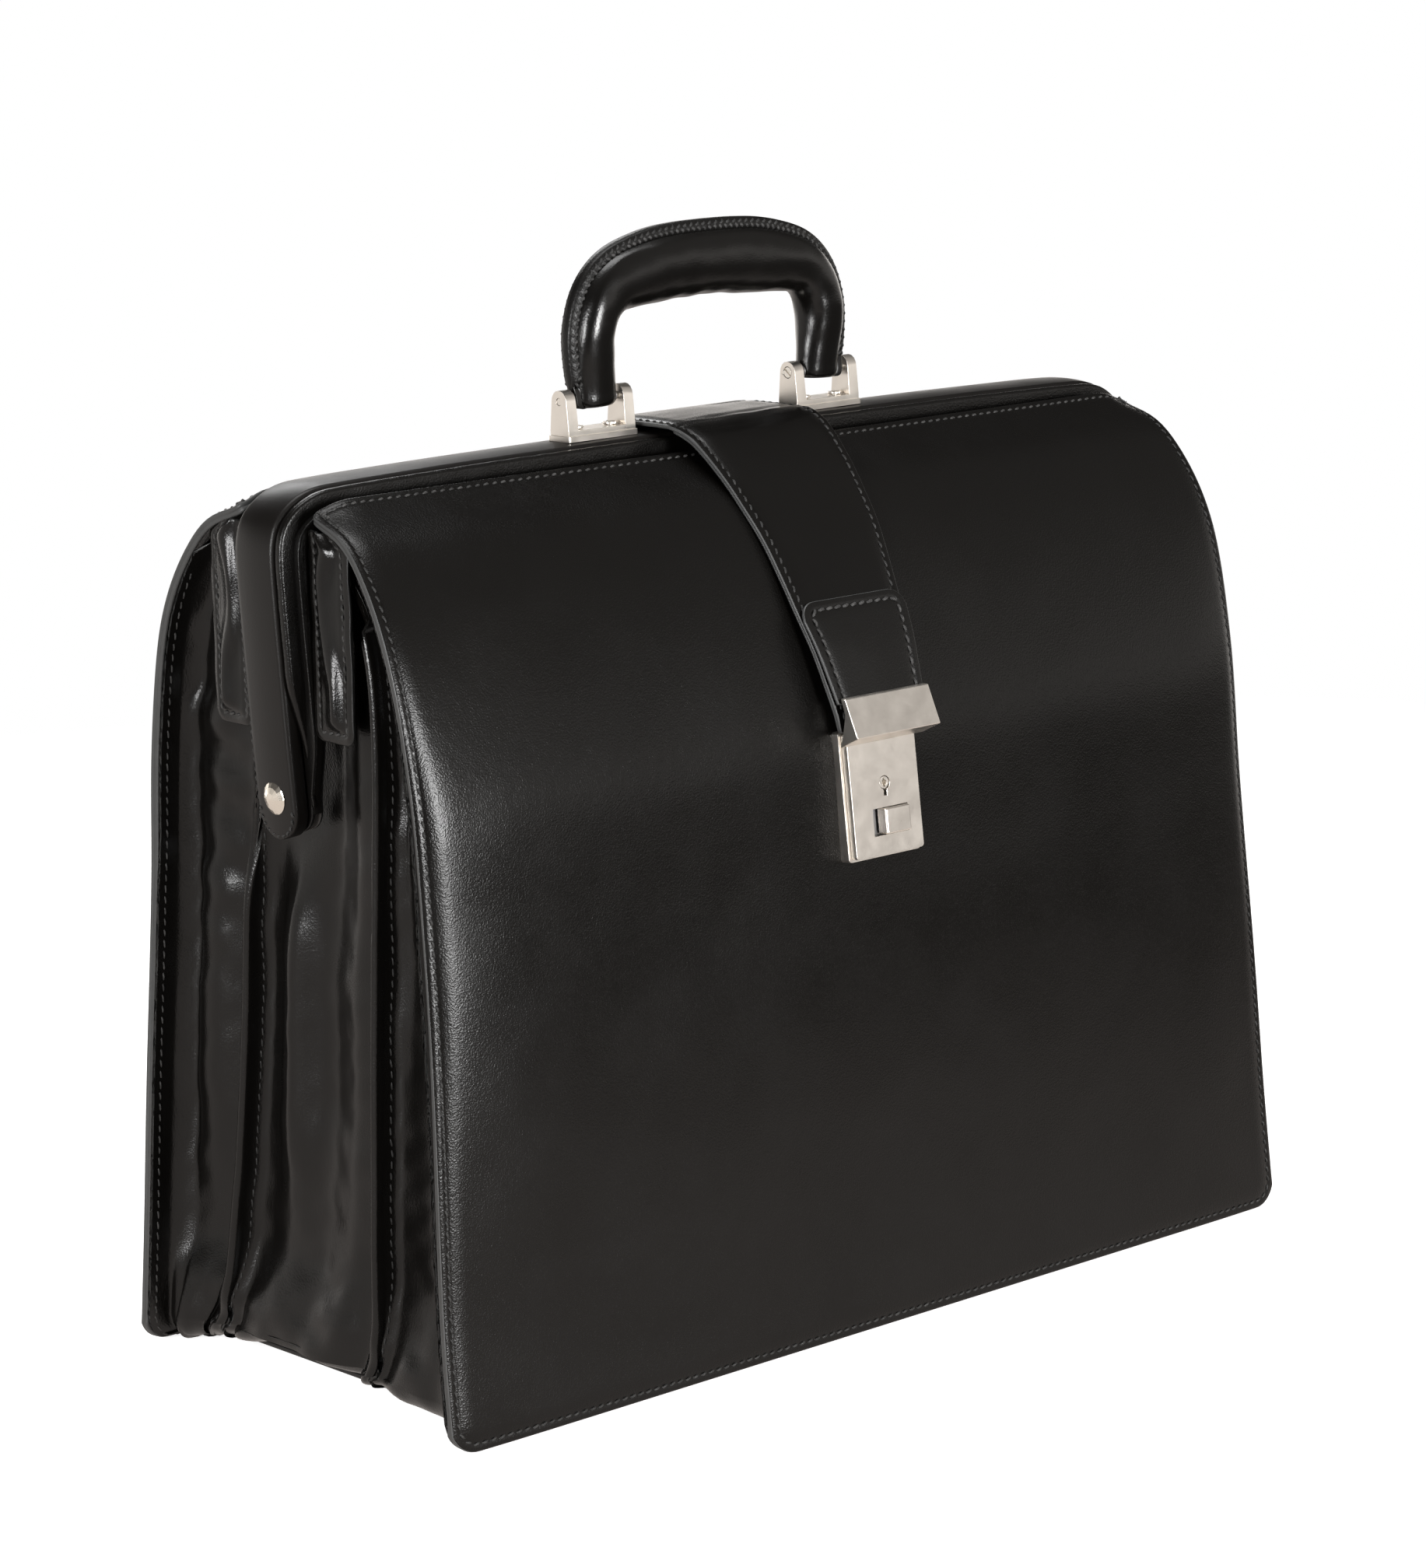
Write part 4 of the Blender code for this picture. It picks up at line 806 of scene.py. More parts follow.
def gusset_grid(side):
    """Rows of sections from the top down, round the bottom corner and in under the bag."""
    walls = np.concatenate([np.linspace(0.312, 0.026, 78), np.linspace(0.026, CORNER_R, 7)[1:]])
    stations = [(z, 0.0) for z in walls]
    stations += [(CORNER_R * (1 - math.sin(turn)), turn)
                 for turn in np.linspace(0, math.pi / 2, 9)[1:]]
    rows = []
    for z, turn in stations:
        depth, y = dense(gusset_section(max(z, 0.0009)), GUSSET_PER).T
        probe = spread(np.array([side * 0.21, z]), y)
        inside = smooth((np.abs(depth) - 0.008) / 0.006)
        crumple = smooth((z - 0.120) / 0.06) * smooth((y - 0.034) / 0.02) \
            * smooth((0.074 - y) / 0.012) * 0.00085 + smooth((0.040 - z) / 0.02) * 0.00045 + 0.00012
        depth = depth + inside * (crumple * waves(probe * [1, 1, 1.2], 0.026, 21)
                                  + 0.00017 * waves(probe, 0.011, 22)
                                  + 0.00042 * waves(probe, 0.038, 24))
        row_z = z
        if turn > 0:
            sine, rest = math.sin(turn), 1 - math.cos(turn)
            swell = 0.75 + 0.35 * smooth((y + 0.060) / 0.05) * smooth((0.050 - y) / 0.04)
            row_z = z + np.clip(depth - 0.0060, 0, 0.008) * 0.25 * sine + 0.0012 \
                + 0.0016 * sine * smooth((y + 0.062) / 0.03) * smooth((0.070 - y) / 0.03) \
                + 0.0060 * sine * bell(y, 0.022, 0.022)
            depth = depth + CORNER_R * swell * rest + 0.0040 * rest * bell(y, 0.022, 0.024)
        x = half_width(z) - 0.0004 - depth
        if z > 0.170:                       # tucked in behind the frame's arms and the facings
            tuck = smooth((z - 0.172) / 0.030)
            limit = 0.1908 + 0.0110 * smooth((np.abs(y) - 0.014) / 0.026) \
                + 0.0012 * waves(probe, 0.03, 23)
            limit = np.where(np.abs(y) > 0.045, np.maximum(limit, x), limit)
            soft = -np.log(np.exp(-x * 900) + np.exp(-limit * 900)) / 900
            x = x * (1 - tuck) + np.minimum(soft, x) * tuck
        rows.append(np.stack(np.broadcast_arrays(side * x, y, row_z), -1))
    last = rows[-1]
    under = 0.018                           # the leather turns in this far under the bag
    for step in (0.005, 0.011, under):
        row = last.copy()
        reach = np.abs(last[:, 0])
        row[:, 0] = side * (reach - step - np.maximum(reach - 0.190, 0) * step / under)
        row[:, 2] += (0.0040 - last[:, 2]) * step / under
        rows.append(row)
    return np.array(rows)


def gusset_piece(name, points, normals):
    """One half of a side as a closed sheet, with the whole side's normals to hide the join."""
    rows, cols = points.shape[:2]
    flat, flat_normals = points.reshape(-1, 3), normals.reshape(-1, 3)
    inner = len(flat)
    faces, index = [], []
    for a, b, c, d in grid_quads(rows, cols):
        faces.append((a, b, c, d))
        faces.append((inner + a, inner + d, inner + c, inner + b))
        index += [0, 1]
    loop = grid_rim(rows, cols)
    for a, b in zip(loop, np.roll(loop, -1)):
        faces.append((a, inner + a, inner + b, b))
        index.append(2)
    return build(name, np.vstack([flat, flat - flat_normals * GUSSET_THICK]), faces,
                 [GUSSET_LEATHER, LINING, EDGE_PAINT], index,
                 normals=np.vstack([flat_normals, -flat_normals]))


def gusset(side, tag):
    points = gusset_grid(side)
    normals = grid_normals(points)
    if (normals[:40, 40:60] @ np.array([side, 0, 0])).mean() < 0:
        normals = -normals
    rows, cols = points.shape[:2]
    split = int(np.argmin(np.abs(points[20, :, 1])))
    front = gusset_piece("gusset_%s_front_half" % tag,
                         points[:, :split + 1], normals[:, :split + 1])
    rear = gusset_piece("gusset_%s_rear_half" % tag, points[:, split:], normals[:, split:])
    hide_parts("gusset_%s" % tag)
    for piece, which in ((front, "front"), (rear, "rear")):
        blend_half(piece)
    # sewn rows: beside each fold's edge, and along the rims
    for which, start in FOLD_STARTS:
        for neck, suffix in FOLD_NECKS:
            line = (slice(8, rows - 7), (start + neck) * GUSSET_PER)
            blend_half(stitches("gusset_%s_%s_fold_seam_%s" % (tag, which, suffix),
                                points[line], normals[line], THREAD,
                                pitch=0.0042, thick=0.00026, share=0.70, slant=4.0))
    for which, column in (("front", GUSSET_PER), ("rear", cols - 1 - GUSSET_PER)):
        line = (slice(4, rows - 4), column)
        blend_half(stitches("gusset_%s_%s_rim_seam" % (tag, which),
                            points[line], normals[line], PALE_THREAD,
                            pitch=0.0042, thick=0.00026, share=0.72, slant=5.0))


for side, tag in ENDS:
    gusset(side, tag)


# ============================================================================== bottom and dividers
def edged(steps, limit, count):
    """Shares from -1 to 1: given steps in from both ends and even ones within +-limit."""
    steps = np.array(steps)
    return np.concatenate([-1 + steps, np.linspace(-limit, limit, count), 1 - steps[::-1]])


def bottom_leather():
    half_x, half_y, radius = 0.1870, 0.0880, 0.010
    across, along = np.meshgrid(edged([0, 0.002, 0.006, 0.012, 0.022, 0.035], 0.94, 40),
                                edged([0, 0.004, 0.012, 0.025, 0.045, 0.08], 0.86, 22))
    from_end, from_side = (1 - np.abs(across)) * half_x, (1 - np.abs(along)) * half_y
    y = along * (half_y - corner_cut(radius, from_end))
    z = 0.0002 + 0.0016 * smooth((0.006 - np.minimum(from_end, from_side)) / 0.006)
    piece = sheet("bottom_leather_skin", np.stack([across * half_x, y, z], -1), 0.0021,
                  [BOTTOM_LEATHER, DARK_EDGE, LINING], out=(0, 0, -1))
    dress(piece, "bottom_leather", "bottom_leather", body="base")


def bottom_board():
    half_x, half_y, low, high = 0.1785, 0.0826, 0.0031, 0.0053
    x, y = np.meshgrid(np.linspace(-1, 1, 31) * half_x, np.linspace(-1, 1, 15) * half_y)
    face = np.stack([x, y, np.full_like(x, high)], -1)
    face[..., 2] += 0.00008 * waves(face, 0.05, 61)
    piece = sheet("bottom_board_sheet", face, high - low, [BOARD, BOARD, BOARD], out=(0, 0, 1))
    dress(piece, "board", "bottom_board", body="base")


def divider(which, seed):
    thick = 0.0020
    x, z = np.meshgrid(np.linspace(-0.1872, 0.1872, 60), np.linspace(0.0068, 0.2352, 40))
    face = np.stack([x, crease(which, z) - thick / 2, z], -1)
    face[..., 1] += 0.00035 * waves(face, 0.12, seed) \
        * smooth((z - 0.01) / 0.05) * smooth((0.187 - np.abs(x)) / 0.03)
    piece = sheet("divider_%s_sheet" % which, face, thick,
                  [LINING, DARK_EDGE, LINING], out=(0, -1, 0))
    dress(piece, "lining_leather", "divider_%s" % which)
    blend_half(piece)
    hem_z = 0.2325
    hem = spread(np.array([0.0, hem_z]), np.full(160, crease(which, hem_z) - thick / 2))
    hem[:, 0] = np.linspace(-0.184, 0.184, 160)
    hem[:, 1] += 0.00035 * waves(hem, 0.12, seed) - 0.0001
    blend_half(stitches("divider_%s_hem" % which, hem, (0, -1, 0), THREAD, pitch=0.0042))


bottom_leather()
bottom_board()
divider("front", seed=71)
divider("rear", seed=72)

# ================================================================================== corner facings
FACING_NEAR, FACING_FAR = 0.0188, 0.0396        # distances from the bag's middle plane
FACING_FOOT, FACING_TOP, FACING_R = 0.2450, 0.3185, 0.0042
FACING_HEIGHT = FACING_TOP - FACING_FOOT
FACING_SEAM_IN = 0.0030
FACING_ACROSS = np.concatenate([[0, 0.03, 0.07, 0.11, 0.15, 0.19], np.linspace(0.25, 0.75, 13),
                                [0.81, 0.85, 0.89, 0.93, 0.97, 1.0]])
FACING_STEPS = np.array([0, 0.0008, 0.0018, 0.0028, 0.0036, 0.0046, 0.006, 0.008])
FACING_RISE = np.concatenate([FACING_STEPS / FACING_HEIGHT, np.linspace(0.14, 1.0, 40)])


def facing_far(z):
    """The facing's outer edge, which keeps inside the panel near the top."""
    return np.where(z < 0.300, FACING_FAR, np.minimum(FACING_FAR, inner_y(z) - 0.0014))


def facing_seam_line():
    """(distance from the middle plane, z): down the near edge, across, up the far edge."""
    turns = np.linspace(0, math.pi / 2, 8)
    turn_in, turn_up = corner_arc(FACING_R, FACING_SEAM_IN, turns)
    down = np.linspace(FACING_TOP - 0.001, FACING_FOOT + FACING_R, 60)
    back_up = down[::-1][1:]
    foot = np.linspace(FACING_NEAR + FACING_R, FACING_FAR - FACING_R, 12)[1:-1]
    y = [np.full(60, FACING_NEAR + FACING_SEAM_IN), FACING_NEAR + turn_in[1:], foot,
         FACING_FAR - turn_in[::-1], facing_far(back_up) - FACING_SEAM_IN]
    z = [down, FACING_FOOT + turn_up[1:], np.full(10, FACING_FOOT + FACING_SEAM_IN),
         FACING_FOOT + turn_up[::-1], back_up]
    return np.concatenate(y), np.concatenate(z)


def facing(side_y, side_x, name, body, node):
    """Padded, sewn leather that hangs from a top corner beside the frame's arm."""
    across, rise = np.meshgrid(FACING_ACROSS, FACING_RISE)
    span = facing_far(FACING_FOOT + rise * FACING_HEIGHT) - FACING_NEAR
    beside = np.minimum(across, 1 - across) * span
    cut = corner_cut(FACING_R, beside)
    y = FACING_NEAR + across * span
    z = FACING_FOOT + cut + rise * (FACING_HEIGHT - cut)
    rim = rounded_rim(beside, z - FACING_FOOT, FACING_R)
    climb = (z - FACING_FOOT) / FACING_HEIGHT
    crown = 0.50 + 0.16 * np.sin(2 * math.pi * (climb * 1.05 + 0.05))
    puff = bell(across, crown, 0.22) * (0.85 + 0.15 * np.sin(9 * climb))
    probe = np.stack([np.full_like(y, side_x * 0.2), side_y * y, z], -1)
    height = 0.0005 * smooth((rim - 0.0004) / 0.0012) \
        - 0.0005 * bell(rim, FACING_SEAM_IN, 0.0007) \
        + 0.0030 * smooth((rim - 0.0036) / 0.0040) * puff + 0.00018 * waves(probe, 0.012, 81)
    x = side_x * (0.2052 + np.maximum(height, -0.0006))
    piece = sheet(name, np.stack([x, side_y * y, z], -1), 0.0013,
                  [GLOSS_LEATHER, DARK_EDGE, LINING], out=(side_x, 0, 0))
    dress(piece, "gloss_leather", node, body=body)
    y, z = facing_seam_line()
    path = np.stack([np.full_like(y, side_x * 0.2053), side_y * y, z], -1)
    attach(stitches(name + "_seam", path, (side_x, 0, 0), PALE_THREAD,
                     pitch=0.0036, share=0.72, slant=8.0), body)


for side_y, tag, body in PANELS:
    for side_x, end in ENDS:
        facing(side_y, side_x, "facing_%s_%s" % (tag, end), body,
               "corner_facing_%s_%s" % (tag, end))


# ============================================================================================ frame
# (x, z) of the frame band's outer face, from the middle of its top to the foot of the right arm
BAND_LINE = [(0.0, 0.3345), (0.060, 0.3344), (0.120, 0.3340), (0.165, 0.3333), (0.1850, 0.3328),
             (0.1945, 0.3322), (0.2018, 0.3302), (0.2080, 0.3265), (0.2127, 0.3218),
             (0.2150, 0.3160), (0.2158, 0.3085), (0.2150, 0.2900), (0.2135, 0.2660),
             (0.2118, 0.2400), (0.2102, 0.2180), (0.2095, 0.2068)]
BAND_HALF = 0.0105              # half the band's width, along y
BAND_END_R = BAND_HALF
# a rolled edge from its side to its face: shares of its radius (inwards, down)
ROLLED = [(0, 1), (0.076, 0.617), (0.293, 0.293), (0.617, 0.076), (1, 0)]

BAND_FINE = dense(BAND_LINE, 30)
BAND_FULL = np.vstack([BAND_FINE[::-1] * np.array([-1, 1]), BAND_FINE[1:]])    # left to right
BAND_RUN = lengths(BAND_FULL)
BAND_N = left_normals(BAND_FULL)
BAND_LEN = BAND_RUN[-1]


def band_at(where):
    """XZ point and outward normal at a length along the band, from its left end."""
    point = at_length(BAND_FULL, where, BAND_RUN)
    return point, unit(at_length(BAND_N, where, BAND_RUN))


def band_stations(cut, end_r, count):
    """Lengths along the band, close together in its rounded ends, `cut` short of both."""
    turn = end_r * (1 - np.cos(np.linspace(0.02, math.pi / 2, 14)))
    first, last = cut + turn, BAND_LEN - cut - turn[::-1]
    return np.concatenate([first, np.linspace(first[-1], last[0], count)[1:-1], last])


def end_share(where, cut, end_r):
    """Share of the full width at a length along a strip with round ends."""
    left = min(where - cut, BAND_LEN - cut - where)
    return math.sqrt(max(1 - (1 - min(left / end_r, 1.0)) ** 2, 0.0004))


def band_strip(name, top, low, y_range, mats, end_r, edge, cut=0.0):
    """A strip that follows the frame between two depths, with rounded edges and ends."""
    rings = []
    for where in band_stations(cut, end_r, 210):
        point, normal = band_at(where)
        first, last = y_range(point[1])
        half = (last - first) / 2 * end_share(where, cut, end_r)
        roll = min(edge, half * 0.6, (low - top) * 0.48)
        left = [(-half + roll * inward, top + roll * down) for inward, down in ROLLED]
        face = [((half - roll) * share, top) for share in np.linspace(-1, 1, 9)[1:-1]]
        right = [(-y, depth) for y, depth in reversed(left)]
        under = [(half, low - roll * 0.5), (half - roll * 0.5, low),
                 (-half + roll * 0.5, low), (-half, low - roll * 0.5)]
        y, depth = np.array(left + face + right + under).T
        rings.append(ring_at(point, normal, (first + last) / 2 + y, depth))
    return loft(name, rings, mats, painted=4)


def band_cover():
    """The frame's smooth cover: a padded face that turns down over its front edge."""
    edge_r, wall, deep, thick, crown = 0.0019, 0.0006, 0.0060, 0.0019, 0.0006
    turns = [math.pi / 2 * k / 6 for k in range(7)]
    rings = []
    for where in band_stations(0.0, BAND_END_R, 240):
        point, normal = band_at(where)
        share = end_share(where, 0.0, BAND_END_R)
        half = BAND_HALF * share
        roll = min(edge_r, half * 0.5)
        profile = [(-half + wall, deep), (-half + 0.3 * wall, deep), (-half, deep - 0.0002),
                   (-half, deep - 0.0018), (-half, roll + 0.0006)]
        profile += [(-half + roll * (1 - math.cos(turn)), roll * (1 - math.sin(turn)))
                    for turn in turns]
        profile += [(-half + roll + (2 * half - roll - 0.0007) * q,
                     -crown * (1 - (2 * q - 1) ** 2) * share)
                    for q in np.linspace(0, 1, 14)[1:-1]]
        profile += [(half - 0.0007, 0.0), (half - 0.0002, 0.0002), (half, 0.0006),
                    (half, thick - 0.0004), (half - 0.0004, thick),
                    (-half + roll + 0.0006, thick), (-half + wall, thick + 0.0008)]
        y, depth = np.array(profile).T
        depth = depth - 0.00006 * waves(spread(point, y), 0.05, 91) * (depth < 0.001)
        rings.append(ring_at(point, normal, y, depth))
    piece = loft("band_cover_leather", rings, [BAND_LEATHER, DARK_EDGE], painted=6)
    dress(piece, "panel_leather", "band_cover", body="back_frame")


def lining_back(z):
    """The band lining's rear edge, which stands out further on the arms."""
    return BAND_HALF + 0.0036 * smooth((0.325 - z) / 0.05)


def lining_range(z):
    return -BAND_HALF + 0.0008, lining_back(z)


def welt_range(z):
    grow = smooth((0.325 - z) / 0.05) * smooth((z - 0.208) / 0.012)
    return -BAND_HALF + 0.0010, BAND_HALF + 0.0012 + 0.0018 * grow


def band_seams(side, tag):
    """Stitches round the band's rounded end and along the welt behind the arm."""
    inset = 0.0013
    straight = np.linspace(0.0118, BAND_END_R, 20)[:-1]
    turns = np.linspace(0, math.pi, 26)
    where = np.concatenate([straight, BAND_END_R - (BAND_END_R - inset) * np.sin(turns),
                            straight[::-1]])
    share = np.concatenate([np.full(19, -1), -np.cos(turns), np.full(19, 1)])
    point, normal = band_at(where if side < 0 else BAND_LEN - where)
    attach(stitches("band_end_seam_" + tag, spread(point, (BAND_HALF - inset) * share),
                     spread(normal, 0.0), THREAD,
                     pitch=0.0028, thick=0.00036, share=0.75, slant=12.0), "back_frame")
    where = np.linspace(0.012, 0.110, 60)
    point, normal = band_at(where if side < 0 else BAND_LEN - where)
    path = spread(point - normal * 0.0019, lining_back(point[:, 1]) - 0.0016)
    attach(stitches("band_welt_seam_" + tag, path, spread(normal, 0.0), THREAD,
                     pitch=0.0034, thick=0.00030, share=0.72, slant=8.0), "back_frame")


def front_range(z):
    """The front frame half's reach in y; lower down its arms shift back and widen."""
    shift = smooth((0.246 - z) / 0.030)
    return -0.0172 + 0.0057 * shift, -0.0020 + 0.0100 * smooth((0.262 - z) / 0.026)


def front_piping():
    """Textured leather turned over the front half's edge, close in front of the band."""
    turns = np.linspace(0, math.pi / 2, 6)
    deep = 0.0086
    rings = []
    for where in np.linspace(0.012, BAND_LEN - 0.012, 260):
        point, normal = band_at(where)
        lower = smooth((0.268 - point[1]) / 0.034)
        top = 0.0009 + 0.0062 * lower
        inner = -BAND_HALF - 0.0005 + 0.0006 * lower
        outer = -BAND_HALF - 0.0042 + 0.0022 * lower
        half = (inner - outer) / 2
        roll = min(0.0014, half * 0.9, (deep - top) * 0.45)
        near, far = roll * (1 - np.cos(turns)), roll * (1 - np.sin(turns))
        y = np.concatenate([-half + near, half - far, [half, half, 0.0, -half, -half]])
        depth = np.concatenate([top + far, top + near, [(top + deep) / 2, deep, deep, deep,
                                                        (top + 2 * deep) / 3]])
        y = (inner + outer) / 2 + y
        probe = spread(point, y)
        depth = depth - 0.00007 * waves(probe, 0.0075, 95) * (depth < top + 0.002)
        rings.append(ring_at(point, normal, y + 0.00008 * waves(probe, 0.011, 96), depth))
    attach(loft("front_frame_piping", rings, [PIPING_LEATHER]), "front_frame")


def front_roll():
    """Rolled leather under the piping, round the front half's outer edge."""
    turns = 2 * math.pi * np.arange(12) / 12
    rings = []
    for where in np.linspace(0.009, BAND_LEN - 0.009, 200):
        point, normal = band_at(where)
        y = front_range(point[1])[0] + 0.0008 + 0.0011 * np.cos(turns)
        rings.append(ring_at(point, normal, y, 0.0096 + 0.0027 * np.sin(turns)))
    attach(loft("front_frame_roll", rings, [GLOSS_LEATHER]), "front_frame")


def top_seam_strip(name, line, node, seed):
    """Leather that joins a panel's top edge to its frame half; its line is (y, z)."""
    line = spline(line, 14)
    face = np.zeros((len(line), 120, 3))
    face[..., 0] = np.linspace(-0.1880, 0.1880, 120)
    face[..., 1:] = line[:, None]
    face[1:-1, :, 2] += 0.00025 * waves(face[1:-1], 0.05, seed)
    piece = sheet(name, face, 0.0011, [GLOSS_LEATHER, DARK_EDGE, LINING], out=(0, 0, 1))
    dress(piece, "gloss_leather", node)
    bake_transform(piece)


band_cover()
dress(band_strip("band_lining_leather", 0.0046, 0.0062, lining_range, [RAW_LEATHER, DARK_EDGE],
                 end_r=0.0100, edge=0.0005), "panel_leather", "band_lining", body="back_frame")
# a second leather layer between the cover and the lining: its edge shows behind the cover
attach(band_strip("band_welt", 0.0021, 0.0045, welt_range, [RAW_LEATHER, DARK_EDGE],
                   end_r=0.0100, edge=0.0006), "back_frame")
for side, tag in ENDS:
    band_seams(side, tag)
dress(band_strip("front_frame_leather", 0.0070, 0.0085, front_range, [RAW_LEATHER, DARK_EDGE],
                 end_r=0.009, edge=0.0005, cut=0.0015),
      "gloss_leather", "front_frame_cover", body="front_frame")
dress(band_strip("front_frame_inner_leather", 0.0109, 0.0121, front_range, [LINING, DARK_EDGE],
                 end_r=0.009, edge=0.0004, cut=0.0015),
      "lining_leather", "front_frame_lining", body="front_frame")
front_piping()
front_roll()
top_seam_strip("top_seam_front", [(-0.0158, 0.3222), (-0.0186, 0.3232), (-0.0212, 0.3246),
                                  (-0.0240, 0.3247)],
               "top_seam_strip_front",
               seed=101)
top_seam_strip("top_seam_back", [(0.0113, 0.3300), (0.0160, 0.3280), (0.0205, 0.3258),
                                 (0.0242, 0.3250)],
               "top_seam_strip_back",
               seed=102)

# ============================================================================================ strap
# (y, z) of the strap's shown face: over the frame's top, then down the front
BRIDGE_LINE = [(0.0125, 0.3389), (0.0060, 0.33905), (-0.0020, 0.33905), (-0.0100, 0.33905),
               (-0.0150, 0.3389)]
FLAP_LINE = [(-0.0175, 0.3389), (-0.0240, 0.3370), (-0.0318, 0.3326), (-0.0432, 0.3222),
             (-0.0524, 0.3116), (-0.0620, 0.2990), (-0.0697, 0.2853), (-0.0762, 0.2726),
             (-0.0830, 0.2592), (-0.0888, 0.2440), (-0.0915, 0.2360), (-0.0927, 0.2300)]
# (y, z) of the tail behind the frame, before it meets the back panel
TAIL_START = [BRIDGE_LINE[0], (0.0165, 0.3385), (0.0205, 0.3371), (0.0245, 0.3345)]
TAIL_DOWN = 0.125               # how far the tail reaches down the back panel's curve
TAIL_HALF, TAIL_R = 0.0353, 0.012
HINGE_HALF, TIP_HALF = 0.0360, 0.0212
# distances in from an edge at which the strap and its patch have columns
STRAP_STEPS = [0, 0.0006, 0.0012, 0.0019, 0.0025, 0.0030, 0.0035, 0.0042, 0.0054, 0.0070, 0.0095,
               0.0130]
PATCH_STEPS = [0, 0.0005, 0.0011, 0.0018, 0.0024, 0.0029, 0.0034, 0.0042, 0.0055, 0.0075]

FLAP_FINE = dense(FLAP_LINE)
FLAP_LEN = lengths(FLAP_FINE)[-1]
STRAP = np.vstack([dense(BRIDGE_LINE + [FLAP_LINE[0]])[:-1], FLAP_FINE])
STRAP_RUN = lengths(STRAP)
STRAP_LEN = STRAP_RUN[-1]
HINGE = STRAP_LEN - FLAP_LEN    # length along the strap where the flap starts
PATCH_TOP, PATCH_END = HINGE + 0.645 * FLAP_LEN, HINGE + 0.925 * FLAP_LEN
PATCH_INSET, PATCH_R, PATCH_SEAM_IN = 0.0011, 0.0065, 0.0031


def strap_half(where):
    share = np.clip((where - HINGE) / FLAP_LEN, 0, 1)
    return HINGE_HALF + (TIP_HALF - HINGE_HALF) * share


def patch_half(where):
    return strap_half(where) - PATCH_INSET


def strap_point(x, where, raised):
    """Points and normals of the strap at lengths along it, raised off its line."""
    point = at_length(STRAP, where, STRAP_RUN)
    tangent = unit(at_length(STRAP, np.minimum(where + 0.0015, STRAP_LEN), STRAP_RUN)
                   - at_length(STRAP, np.maximum(where - 0.0015, 0), STRAP_RUN))
    normal = np.stack([tangent[..., 1], -tangent[..., 0]], -1)
    points = point + normal * np.asarray(raised)[..., None]
    return on_strap(points, x), on_strap(normal, 0.0)


def on_strap(plane, x):
    """3D points from (y, z) pairs and x."""
    return np.stack(np.broadcast_arrays(x, plane[..., 0], plane[..., 1]), -1)


def strap_relief(rim):
    """The seam's groove, the thinner rim and the padding inside it."""
    return -0.00040 * bell(rim, 0.0024, 0.0007) - 0.00030 * smooth((0.0022 - rim) / 0.002) \
        + 0.00050 * smooth((rim - 0.0028) / 0.0045) - 0.0002


def strap_face():
    rows = []
    for where in np.linspace(0.0, STRAP_LEN, 150):
        half = strap_half(where) - EDGE_OUT
        x = columns(STRAP_STEPS, half, 9)
        rim = half - np.abs(x)
        probe = np.stack([x, np.zeros_like(x), np.full_like(x, where)], -1)
        crinkle = bell(where, HINGE + 0.001, 0.0085) * waves(probe * [0.35, 1, 1], 0.0070, 112)
        raised = strap_relief(rim) + 0.00014 * waves(probe, 0.055, 111) * smooth(rim / 0.01) \
            + 0.00020 * crinkle * smooth(rim / 0.006)
        rows.append(strap_point(x, where, raised)[0])
    piece = sheet("strap_leather_face", np.array(rows), 0.0016,
                  [STRAP_LEATHER, EDGE_PAINT, DARK_EDGE], out=(0, -1, 0.5))
    dress(piece, "gloss_leather", "strap_flap", "strap_bridge")
    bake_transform(piece)


def strap_lining():
    """A second layer under the flap, whose edge shows beside the first."""
    rows = []
    for where in np.linspace(HINGE + 0.003, STRAP_LEN, 120):
        half = strap_half(where) - 0.0010
        rows.append(strap_point(np.linspace(-half, half, 17), where, -0.0018)[0])
    piece = sheet("strap_lining_face", np.array(rows), 0.0013,
                  [EDGE_PAINT, EDGE_PAINT, RAW_LEATHER], out=(0, -1, 0.3))
    dress(piece, "lining_leather", "strap_flap_lining")
    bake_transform(piece)


def strap_seam(side, tag):
    where = np.linspace(0.0015, STRAP_LEN - 0.0035, 260)
    path, normals = strap_point(side * (strap_half(where) - 0.0031), where, -0.00050)
    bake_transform(stitches("strap_seam_" + tag, path, normals, THREAD,
                      thick=0.00036, slant=9.0 * side))


def strap_patch():
    """The patch over the strap's end, with its two upper corners rounded."""
    length = PATCH_END - PATCH_TOP
    rows = []
    for down in np.concatenate([PATCH_STEPS, np.linspace(PATCH_STEPS[-1], length, 34)[1:]]):
        half = patch_half(PATCH_TOP + down)
        x = columns(PATCH_STEPS, half, 10)
        beside = half - np.abs(x)
        cut = corner_cut(PATCH_R, beside)
        below = cut + down * (1 - cut / length)
        rim = rounded_rim(beside, below, PATCH_R)
        raised = 0.0017 + 0.00035 * smooth((rim - 0.003) / 0.004) \
            - 0.00038 * bell(rim, 0.0028, 0.0007) - 0.0002 * smooth((0.002 - rim) / 0.002)
        rows.append(strap_point(x, PATCH_TOP + below, raised)[0])
    piece = sheet("strap_patch_leather", np.array(rows), 0.0015,
                  [PATCH_LEATHER, EDGE_PAINT, DARK_EDGE], out=(0, -1, 0.3))
    dress(piece, "panel_leather", "strap_patch", body="strap")


